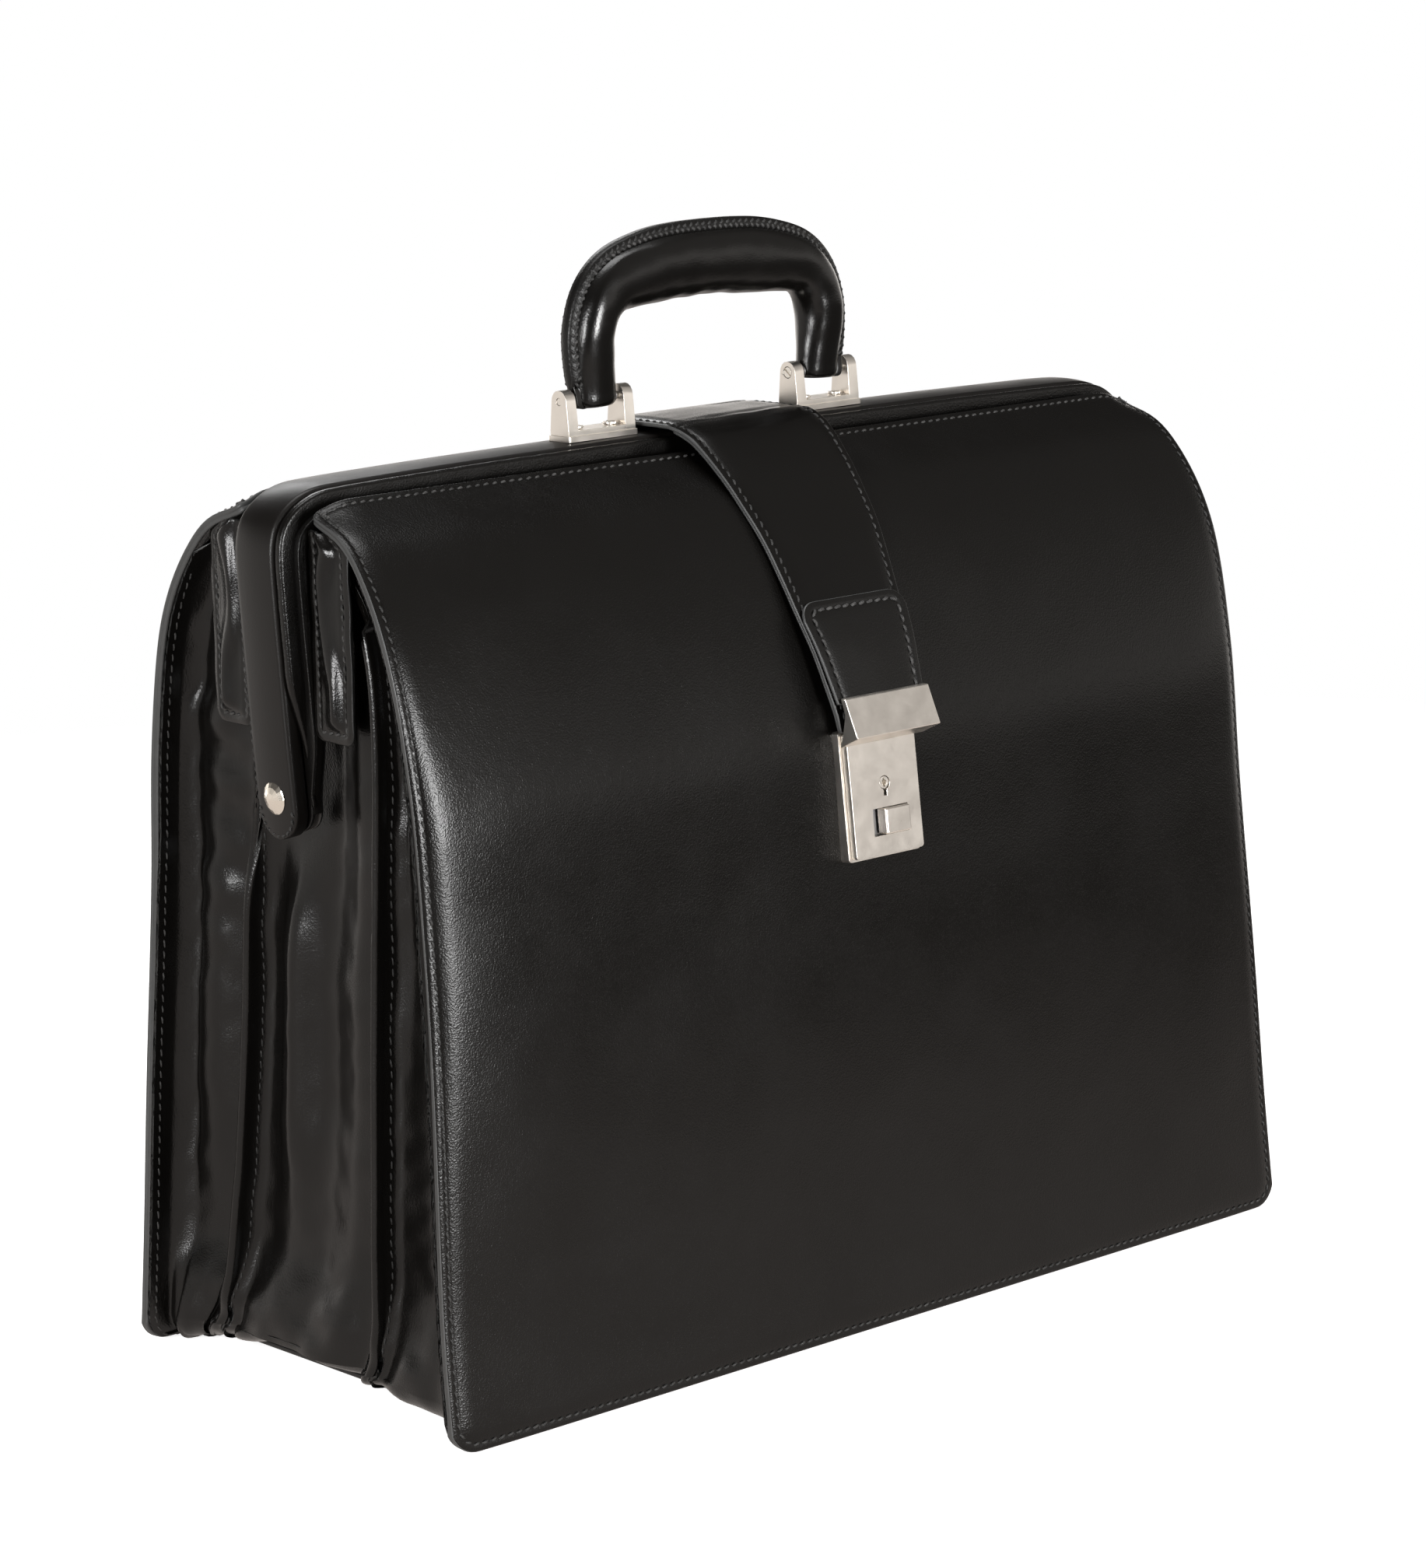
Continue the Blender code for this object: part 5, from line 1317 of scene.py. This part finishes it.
def strap_patch_seam():
    """Stitches up the patch's left edge, across its top and down the right."""
    climb = np.linspace(PATCH_END - 0.0005, PATCH_TOP + PATCH_R, 40)
    turns = np.linspace(0, math.pi / 2, 9)[1:]
    turn_in, turn_down = corner_arc(PATCH_R, PATCH_SEAM_IN, turns)
    x = np.concatenate([PATCH_SEAM_IN - patch_half(climb),
                        turn_in - patch_half(PATCH_TOP + PATCH_R)])
    where = np.concatenate([climb, PATCH_TOP + turn_down])
    reach = patch_half(PATCH_TOP + PATCH_SEAM_IN) - PATCH_R
    top = np.linspace(-reach, reach, 30)[1:-1]
    x = np.concatenate([x, top, -x[::-1]])
    where = np.concatenate([where, np.full(len(top), PATCH_TOP + PATCH_SEAM_IN), where[::-1]])
    path, normals = strap_point(x, where, 0.00165)
    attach(stitches("strap_patch_seam", path, normals, PALE_THREAD,
                     pitch=0.0041, thick=0.00042, share=0.78, slant=7.0), "strap")


def strap_tail():
    """The strap's tail: over the back of the frame and down the back panel."""
    up = np.linspace(PANEL_LEN - 0.010, PANEL_LEN - TAIL_DOWN, 26)
    panel_line = at_length(PROFILE, up, PROFILE_RUN)
    raised = bulge(0.17, panel_line[:, 1]) + 0.0030
    panel_line = panel_line + at_length(PROFILE_N, up, PROFILE_RUN) * raised[:, None]
    line = spline(np.vstack([TAIL_START, panel_line]), 300)
    running = lengths(line)
    total = running[-1]
    rows = []
    for where in np.linspace(0, total, 100):
        point = at_length(line, where, running)
        tangent = unit(at_length(line, min(where + 0.001, total), running)
                       - at_length(line, max(where - 0.001, 0), running))
        normal = np.array([-tangent[1], tangent[0]])
        half = TAIL_HALF - corner_cut(TAIL_R, total - where)
        x = columns(STRAP_STEPS, half, 9)
        relief = strap_relief(half - np.abs(x))
        rows.append(on_strap(point + normal * relief[:, None], x))
    piece = sheet("strap_tail_leather", np.array(rows), 0.0022,
                  [STRAP_LEATHER, EDGE_PAINT, DARK_EDGE], out=(0, 1, 0.3))
    dress(piece, "gloss_leather", "strap_tail")
    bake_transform(piece)
    points = at_length(line, np.linspace(0.002, total - TAIL_R, 180), running)
    normals = left_normals(points)
    for side, tag in ENDS:
        path = on_strap(points - normals * 0.0005, side * (TAIL_HALF - 0.0026))
        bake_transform(stitches("strap_tail_seam_" + tag, path, on_strap(normals, 0.0), THREAD,
                          thick=0.00036, slant=9.0 * side))


strap_face()
strap_lining()
for side, tag in ENDS:
    strap_seam(side, tag)
strap_patch()
strap_patch_seam()
strap_tail()

# ============================================================================================ handle
# (x, z) of the handle's middle line, from its right foot to the middle of its top
HANDLE_LINE = [(0.0575, 0.3464), (0.0578, 0.3540), (0.0588, 0.3640), (0.0588, 0.3745),
               (0.0547, 0.3850), (0.0460, 0.3920), (0.0320, 0.3952), (0.0150, 0.3967),
               (0.0, 0.3970)]
# half its section, in half sizes: (outwards, y); the narrow part is the sewn flange
HANDLE_SECTION = [(1.0, 0.0), (0.985, 0.16), (0.95, 0.24), (0.88, 0.26), (0.80, 0.28),
                  (0.745, 0.34), (0.70, 0.47), (0.60, 0.67), (0.42, 0.86), (0.18, 0.97),
                  (-0.08, 1.0), (-0.34, 0.97), (-0.60, 0.85), (-0.82, 0.60), (-0.95, 0.30),
                  (-1.0, 0.0)]
# the spine's section: (outwards, y)
SPINE_SECTION = np.array([
    (0.0002, 0.0024), (0.0006, 0.0019), (0.0007, 0.0), (0.0006, -0.0019), (0.0002, -0.0024),
    (-0.0008, -0.0030), (-0.0022, -0.0033), (-0.0036, -0.0032), (-0.0041, -0.0026),
    (-0.0041, 0.0026), (-0.0036, 0.0032), (-0.0022, 0.0033), (-0.0008, 0.0030)])
SPINE_START = 0.006
# row, distance in from the outer edge, y, pitch, thread, slant
HANDLE_SEAMS = [("outer", 0.0013, 0.00290, 0.0031, THREAD, -20.0),
                ("inner", 0.0028, 0.00318, 0.0027, PALE_THREAD, 26.0)]

HALF_HANDLE = spline(HANDLE_LINE, 60)
HANDLE = np.vstack([HALF_HANDLE * np.array([-1, 1]), HALF_HANDLE[::-1][1:]])
HANDLE_N = left_normals(HANDLE)
HANDLE_RUN = lengths(HANDLE)
HANDLE_LEN = HANDLE_RUN[-1]


def handle_at(where):
    """XZ point, outward normal, share of the way to the middle, and half size outwards."""
    point = at_length(HANDLE, where, HANDLE_RUN)
    normal = unit(at_length(HANDLE_N, where, HANDLE_RUN))
    share = np.minimum(where, HANDLE_LEN - where) / (HANDLE_LEN / 2)
    size = 0.0101 + 0.0007 * smooth(share / 0.22) + 0.0034 * smooth((share - 0.3) / 0.5)
    return point, normal, share, size


def handle_ring(where, section):
    point, normal, share, size = handle_at(where)
    foot = 1 - smooth(share / 0.22)
    # the ends are rounded off
    scale = 1 - 0.26 * corner_cut(1.0, min(where, HANDLE_LEN - where) / 0.0030)
    outwards, across = section.T
    y = (0.0060 + 0.0032 * smooth(share / 0.32)) * across * scale
    least = 0.0031 * foot * np.minimum(1.0, (1.0 - outwards) / 0.03)
    flange = np.minimum(np.maximum(np.abs(y), least), 0.0027 + 0.0008 * foot)
    y = np.where(outwards > 0.735, np.sign(across) * flange, y)
    ring = ring_at(point, normal, y, -size * outwards * scale)
    # unevenness, and crinkles on the inner side of the bend
    arm = ring - spread(point, 0.0)
    height = (arm @ spread(normal, 0.0)) / size
    uneven = 0.00022 * waves(ring, 0.030, 121) + 0.00010 * waves(ring, 0.011, 122)
    inner = smooth((-height - 0.1) / 0.6) \
        * smooth((1 - abs(where / HANDLE_LEN - 0.5) * 2.0) / 0.9)
    crinkle = 0.00016 * waves(ring * [1, 0.3, 1], 0.0085, 123) * inner
    return ring + unit(arm) * (uneven * smooth((0.68 - height) / 0.2) + crinkle)[:, None]


def handle_cover():
    half = HANDLE_SECTION + [(out, -y) for out, y in reversed(HANDLE_SECTION[1:-1])]
    section = dense(half, 3, loop=True)
    end = np.array([0.0, 0.0003, 0.0008, 0.0015, 0.0024])
    stations = np.concatenate([end, np.linspace(0.0034, HANDLE_LEN - 0.0034, 150),
                               HANDLE_LEN - end[::-1]])
    rings = [handle_ring(where, section) for where in stations]
    piece = loft("handle_leather_cover", rings, [HANDLE_LEATHER])
    dress(piece, "gloss_leather", "handle_cover", "handle_core", body="handle")


def handle_spine():
    """A raised spine round the handle's outer edge, narrower at its ends."""
    rings = []
    for where in np.linspace(SPINE_START, HANDLE_LEN - SPINE_START, 150):
        point, normal, _, size = handle_at(where)
        left = min(where - SPINE_START, HANDLE_LEN - SPINE_START - where)
        narrow = smooth(left / 0.006) * 0.75 + 0.25
        outwards, y = SPINE_SECTION.T
        rings.append(ring_at(point, normal, y * narrow, -(size - 0.0003 + outwards)))
    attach(loft("handle_spine", rings, [RAW_LEATHER]), "handle")


def handle_seams(side, tag):
    point, normal, _, size = handle_at(np.linspace(0.008, HANDLE_LEN - 0.008, 300))
    for row, inset, y, pitch, mat, slant in HANDLE_SEAMS:
        path = spread(point + normal * (size - inset)[:, None], side * y)
        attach(stitches("handle_seam_%s_%s" % (tag, row), path, (0, side, 0), mat, pitch,
                         thick=0.00040, share=0.78, slant=slant * side), "handle")


handle_cover()
handle_spine()
for side, tag, _ in PANELS:
    handle_seams(side, tag)

# ========================================================================== metal and small CAD nodes
# CAD node, finish, bevel width (0 for none), bevel segments
PAIRED_NODES = [
    ("handle_bracket_%s", "satin_nickel", 0.00055, 3),
    ("handle_pin_%s", "satin_nickel", 0.00012, 2),
    ("handle_barrel_%s", "steel", 0, 0),
    ("rivet_%s", "polished_nickel", 0, 0),
    ("rivet_washer_%s", "steel", 0, 0),
    ("lock_screw_%s", "steel", 0, 0),
    ("bracket_stud_%s_inner", "satin_nickel", 0.0002, 2),
    ("bracket_stud_%s_outer", "satin_nickel", 0.0002, 2),
]
SINGLE_NODES = [
    ("back_frame_steel", "steel", 0, 0),
    ("front_frame_steel", "steel", 0, 0),
    ("lock_case", "satin_nickel", 0.00035, 3),
    ("lock_face_plate", "satin_nickel", 0.00030, 3),
    ("lock_button", "satin_nickel", 0.00025, 3),
    ("hasp", "satin_nickel", 0.00035, 3),
    ("hasp_back_plate", "satin_nickel", 0.00015, 2),
    ("hasp_tongue", "steel", 0.0001, 2),
    ("lock_bolt", "steel", 0, 0),
    ("lock_spring", "steel", 0, 0),
    ("lock_backing_plate", "steel", 0, 0),
    ("key_cylinder", "steel", 0.00008, 2),
]


def add_modifier(piece, name, kind, **settings):
    modifier = piece.modifiers.new(name, kind)
    for key, value in settings.items():
        setattr(modifier, key, value)


def finish_node(name, finish, bevel, segments, mat=None):
    """Give a CAD node its metal, and soften its edges if it has a bevel."""
    piece = NODES[name]
    piece.data.materials.clear()
    piece.data.materials.append(mat or METALS[finish])
    for polygon in piece.data.polygons:
        polygon.material_index = 0
    if bevel:
        add_modifier(piece, "weld", "WELD", merge_threshold=0.000002)
        add_modifier(piece, "bevel", "BEVEL", width=bevel, segments=segments,
                     limit_method="ANGLE", angle_limit=math.radians(28.0),
                     harden_normals=False, use_clamp_overlap=True)
        piece.data.shade_smooth()
        add_modifier(piece, "normals", "WEIGHTED_NORMAL", keep_sharp=False, weight=100)


def squash_spring():
    """Give the lock's coil a mesh of its own."""
    coil = NODES["lock_spring"]
    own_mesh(coil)


for _, end in ENDS:
    for name, *finish in PAIRED_NODES:
        finish_node(name % end, *finish)
for name, *finish in SINGLE_NODES:
    # the key cylinder shows nickel but keeps the steel slot
    cylinder = name == "key_cylinder"
    finish_node(name, *finish, mat=METALS["satin_nickel"] if cylinder else None)
squash_spring()


# ============================================================================ floor, light, camera
def floor_paper():
    """White paper that fades out far away and shows reflections a dimmer, warmer glow."""
    material, graph, inputs = new_material("floor_paper")
    place = graph.coords()
    tone = graph.remap(graph.noise(place, 3.0, detail=2.0), NOISE_CORE)
    graph.put(inputs["Base Color"],
              graph.mix(tone, (0.90, 0.90, 0.90), (0.925, 0.925, 0.922)))
    inputs["Roughness"].default_value = 0.85
    inputs["Specular IOR Level"].default_value = 0.1
    graph.put(inputs["Normal"], graph.bump(graph.noise(place, 700.0), distance=0.00005))
    inputs["Emission Color"].default_value = (1, 1, 1, 1)
    inputs["Emission Strength"].default_value = 0.80

    glow = graph.node("ShaderNodeEmission")
    glow.inputs[0].default_value = (1.0, 0.915, 0.86, 1.0)
    toward = graph.node("ShaderNodeVectorMath", operation="DOT_PRODUCT")
    graph.put(toward.inputs[0], place)
    graph.put(toward.inputs[1], (0.65, -0.76, 0.0))
    graph.put(glow.inputs[1],
              graph.remap(toward.outputs["Value"], (0.35, 0.80), (0.70, 0.10)))

    bsdf = inputs["Base Color"].node
    seen = graph.node("ShaderNodeLightPath").outputs["Is Camera Ray"]
    pick = mix_shaders(graph, seen, glow, bsdf)
    distance = graph.node("ShaderNodeVectorMath", operation="LENGTH")
    graph.put(distance.inputs[0], place)
    far = graph.remap(distance.outputs["Value"], (0.80, 1.25))
    clear = graph.node("ShaderNodeBsdfTransparent")
    faded = mix_shaders(graph, far, pick, clear)
    output = next(node for node in graph.tree.nodes if node.type == "OUTPUT_MATERIAL")
    graph.put(output.inputs["Surface"], faded.outputs[0])
    return material


def mix_shaders(graph, factor, first, second):
    mixer = graph.node("ShaderNodeMixShader")
    graph.put(mixer.inputs[0], factor)
    graph.put(mixer.inputs[1], first.outputs[0])
    graph.put(mixer.inputs[2], second.outputs[0])
    return mixer


def add_floor():
    radius, segments = 6.0, 96
    mesh = bpy.data.meshes.new("floor")
    turns = [2 * math.pi * k / segments for k in range(segments)]
    verts = [(radius * math.cos(turn), radius * math.sin(turn), 0.0) for turn in turns]
    faces = [(0, 1 + k, 1 + (k + 1) % segments) for k in range(segments)]
    mesh.from_pydata([(0.0, 0.0, 0.0)] + verts, [], faces)
    floor = add_object("floor", mesh)
    floor.location = (0, 0, -0.0003)
    mesh.materials.append(floor_paper())


def add_world():
    """White to the camera; to everything else a dark room with a few pale regions."""
    world = bpy.data.worlds.new("studio")
    bpy.context.scene.world = world
    world.use_nodes = True
    graph = Graph(world.node_tree)
    graph.tree.nodes.clear()
    output = graph.node("ShaderNodeOutputWorld")
    white = graph.node("ShaderNodeBackground")
    white.inputs[0].default_value = (1, 1, 1, 1)
    white.inputs[1].default_value = 1.0
    room = graph.node("ShaderNodeBackground")
    room.inputs[0].default_value = (1.0, 0.955, 0.91, 1.0)
    direction = graph.node("ShaderNodeSeparateXYZ")
    graph.put(direction.inputs[0], graph.node("ShaderNodeTexCoord").outputs["Generated"])
    x, y, z = direction.outputs

    def heading(share_x, share_y, limits):
        """Grows from 0 to 1 as the direction turns towards a heading."""
        aim = graph.calc("ADD", graph.calc("MULTIPLY", x, share_x),
                         graph.calc("MULTIPLY", y, share_y))
        return graph.remap(aim, limits)

    # a pale wall ahead and to the right
    wall = graph.calc("SUBTRACT", graph.remap(z, (-0.065, 0.015), (0.12, 1.0)),
                      graph.remap(z, (0.10, 0.30), (0.0, 0.62)))
    level = graph.calc("MULTIPLY", heading(0.650, -0.760, (0.35, 0.88)), wall)
    # a low glow behind, to the right
    glow = graph.calc("MULTIPLY", heading(0.60, 0.80, (0.45, 0.95)),
                      graph.remap(z, (0.10, 0.21), (2.0, 0.0)))
    glow = graph.calc("MULTIPLY", glow, graph.remap(z, (-0.30, -0.12), (0.2, 1.0)))
    level = graph.calc("ADD", level, glow)
    # a softer one behind, to the left
    aside = graph.calc("MULTIPLY", heading(-0.66, 0.74, (0.35, 0.85)),
                       graph.remap(z, (0.05, 0.34), (0.78, 0.0)))
    level = graph.calc("ADD", level, aside)
    # a faint ceiling, and the darkness elsewhere
    level = graph.calc("ADD", level, graph.remap(z, (0.50, 0.95), (0.0, 0.24)))
    level = graph.calc("MAXIMUM", level, 0.085)
    graph.put(room.inputs[1], level)
    seen = graph.node("ShaderNodeLightPath").outputs["Is Camera Ray"]
    graph.put(output.inputs[0], mix_shaders(graph, seen, room, white).outputs[0])


def softbox(name, where, look, size, power):
    light = bpy.data.lights.new(name, "AREA")
    light.shape = "RECTANGLE"
    light.size, light.size_y = size
    light.energy = power
    lamp = bpy.data.objects.new(name, light)
    lamp.location = where
    lamp.rotation_mode = "QUATERNION"
    lamp.rotation_quaternion = (Vector(look) - Vector(where)).to_track_quat("-Z", "Y")
    ROOT.objects.link(lamp)


def add_camera():
    place = (-1.19452, -1.33371, 0.55880)
    azimuth, height, roll = (math.radians(angle) for angle in (-41.794, 11.495, -1.406))
    back = Vector((math.sin(azimuth) * math.cos(height), -math.cos(azimuth) * math.cos(height),
                   math.sin(height)))
    level = Vector((math.cos(azimuth), math.sin(azimuth), 0))
    upright = back.cross(level)
    right = level * math.cos(roll) + upright * math.sin(roll)
    up = -level * math.sin(roll) + upright * math.cos(roll)
    lens = bpy.data.cameras.new("camera")
    lens.sensor_width = 36.0
    lens.sensor_fit = "AUTO"
    lens.lens = 109.0541071
    lens.clip_start, lens.clip_end = 0.05, 60.0
    camera = bpy.data.objects.new("camera", lens)
    matrix = Matrix.Identity(4)
    for k, axis in enumerate((right, up, back)):
        matrix.col[k] = (*axis, 0)
    matrix.col[3] = (*place, 1)
    camera.matrix_world = matrix
    ROOT.objects.link(camera)
    bpy.context.scene.camera = camera


add_floor()
add_world()
softbox("front_box", (-0.02, -2.3, 0.40), look=(0, 0, 0.18), size=(0.52, 0.85), power=52.0)
softbox("left_box", (-2.0, -0.72, 0.60), look=(0, 0, 0.2), size=(0.50, 1.0), power=36.0)
softbox("top_box", (0.1, 0.1, 2.3), look=(0, 0, 0.2), size=(1.2, 0.9), power=19.0)
softbox("rear_box", (0.75, 1.75, 1.35), look=(0, 0, 0.25), size=(0.9, 0.6), power=8.0)
add_camera()
view = bpy.context.scene.view_settings
view.view_transform = "Standard"
view.gamma = 0.93
view.look = "None"
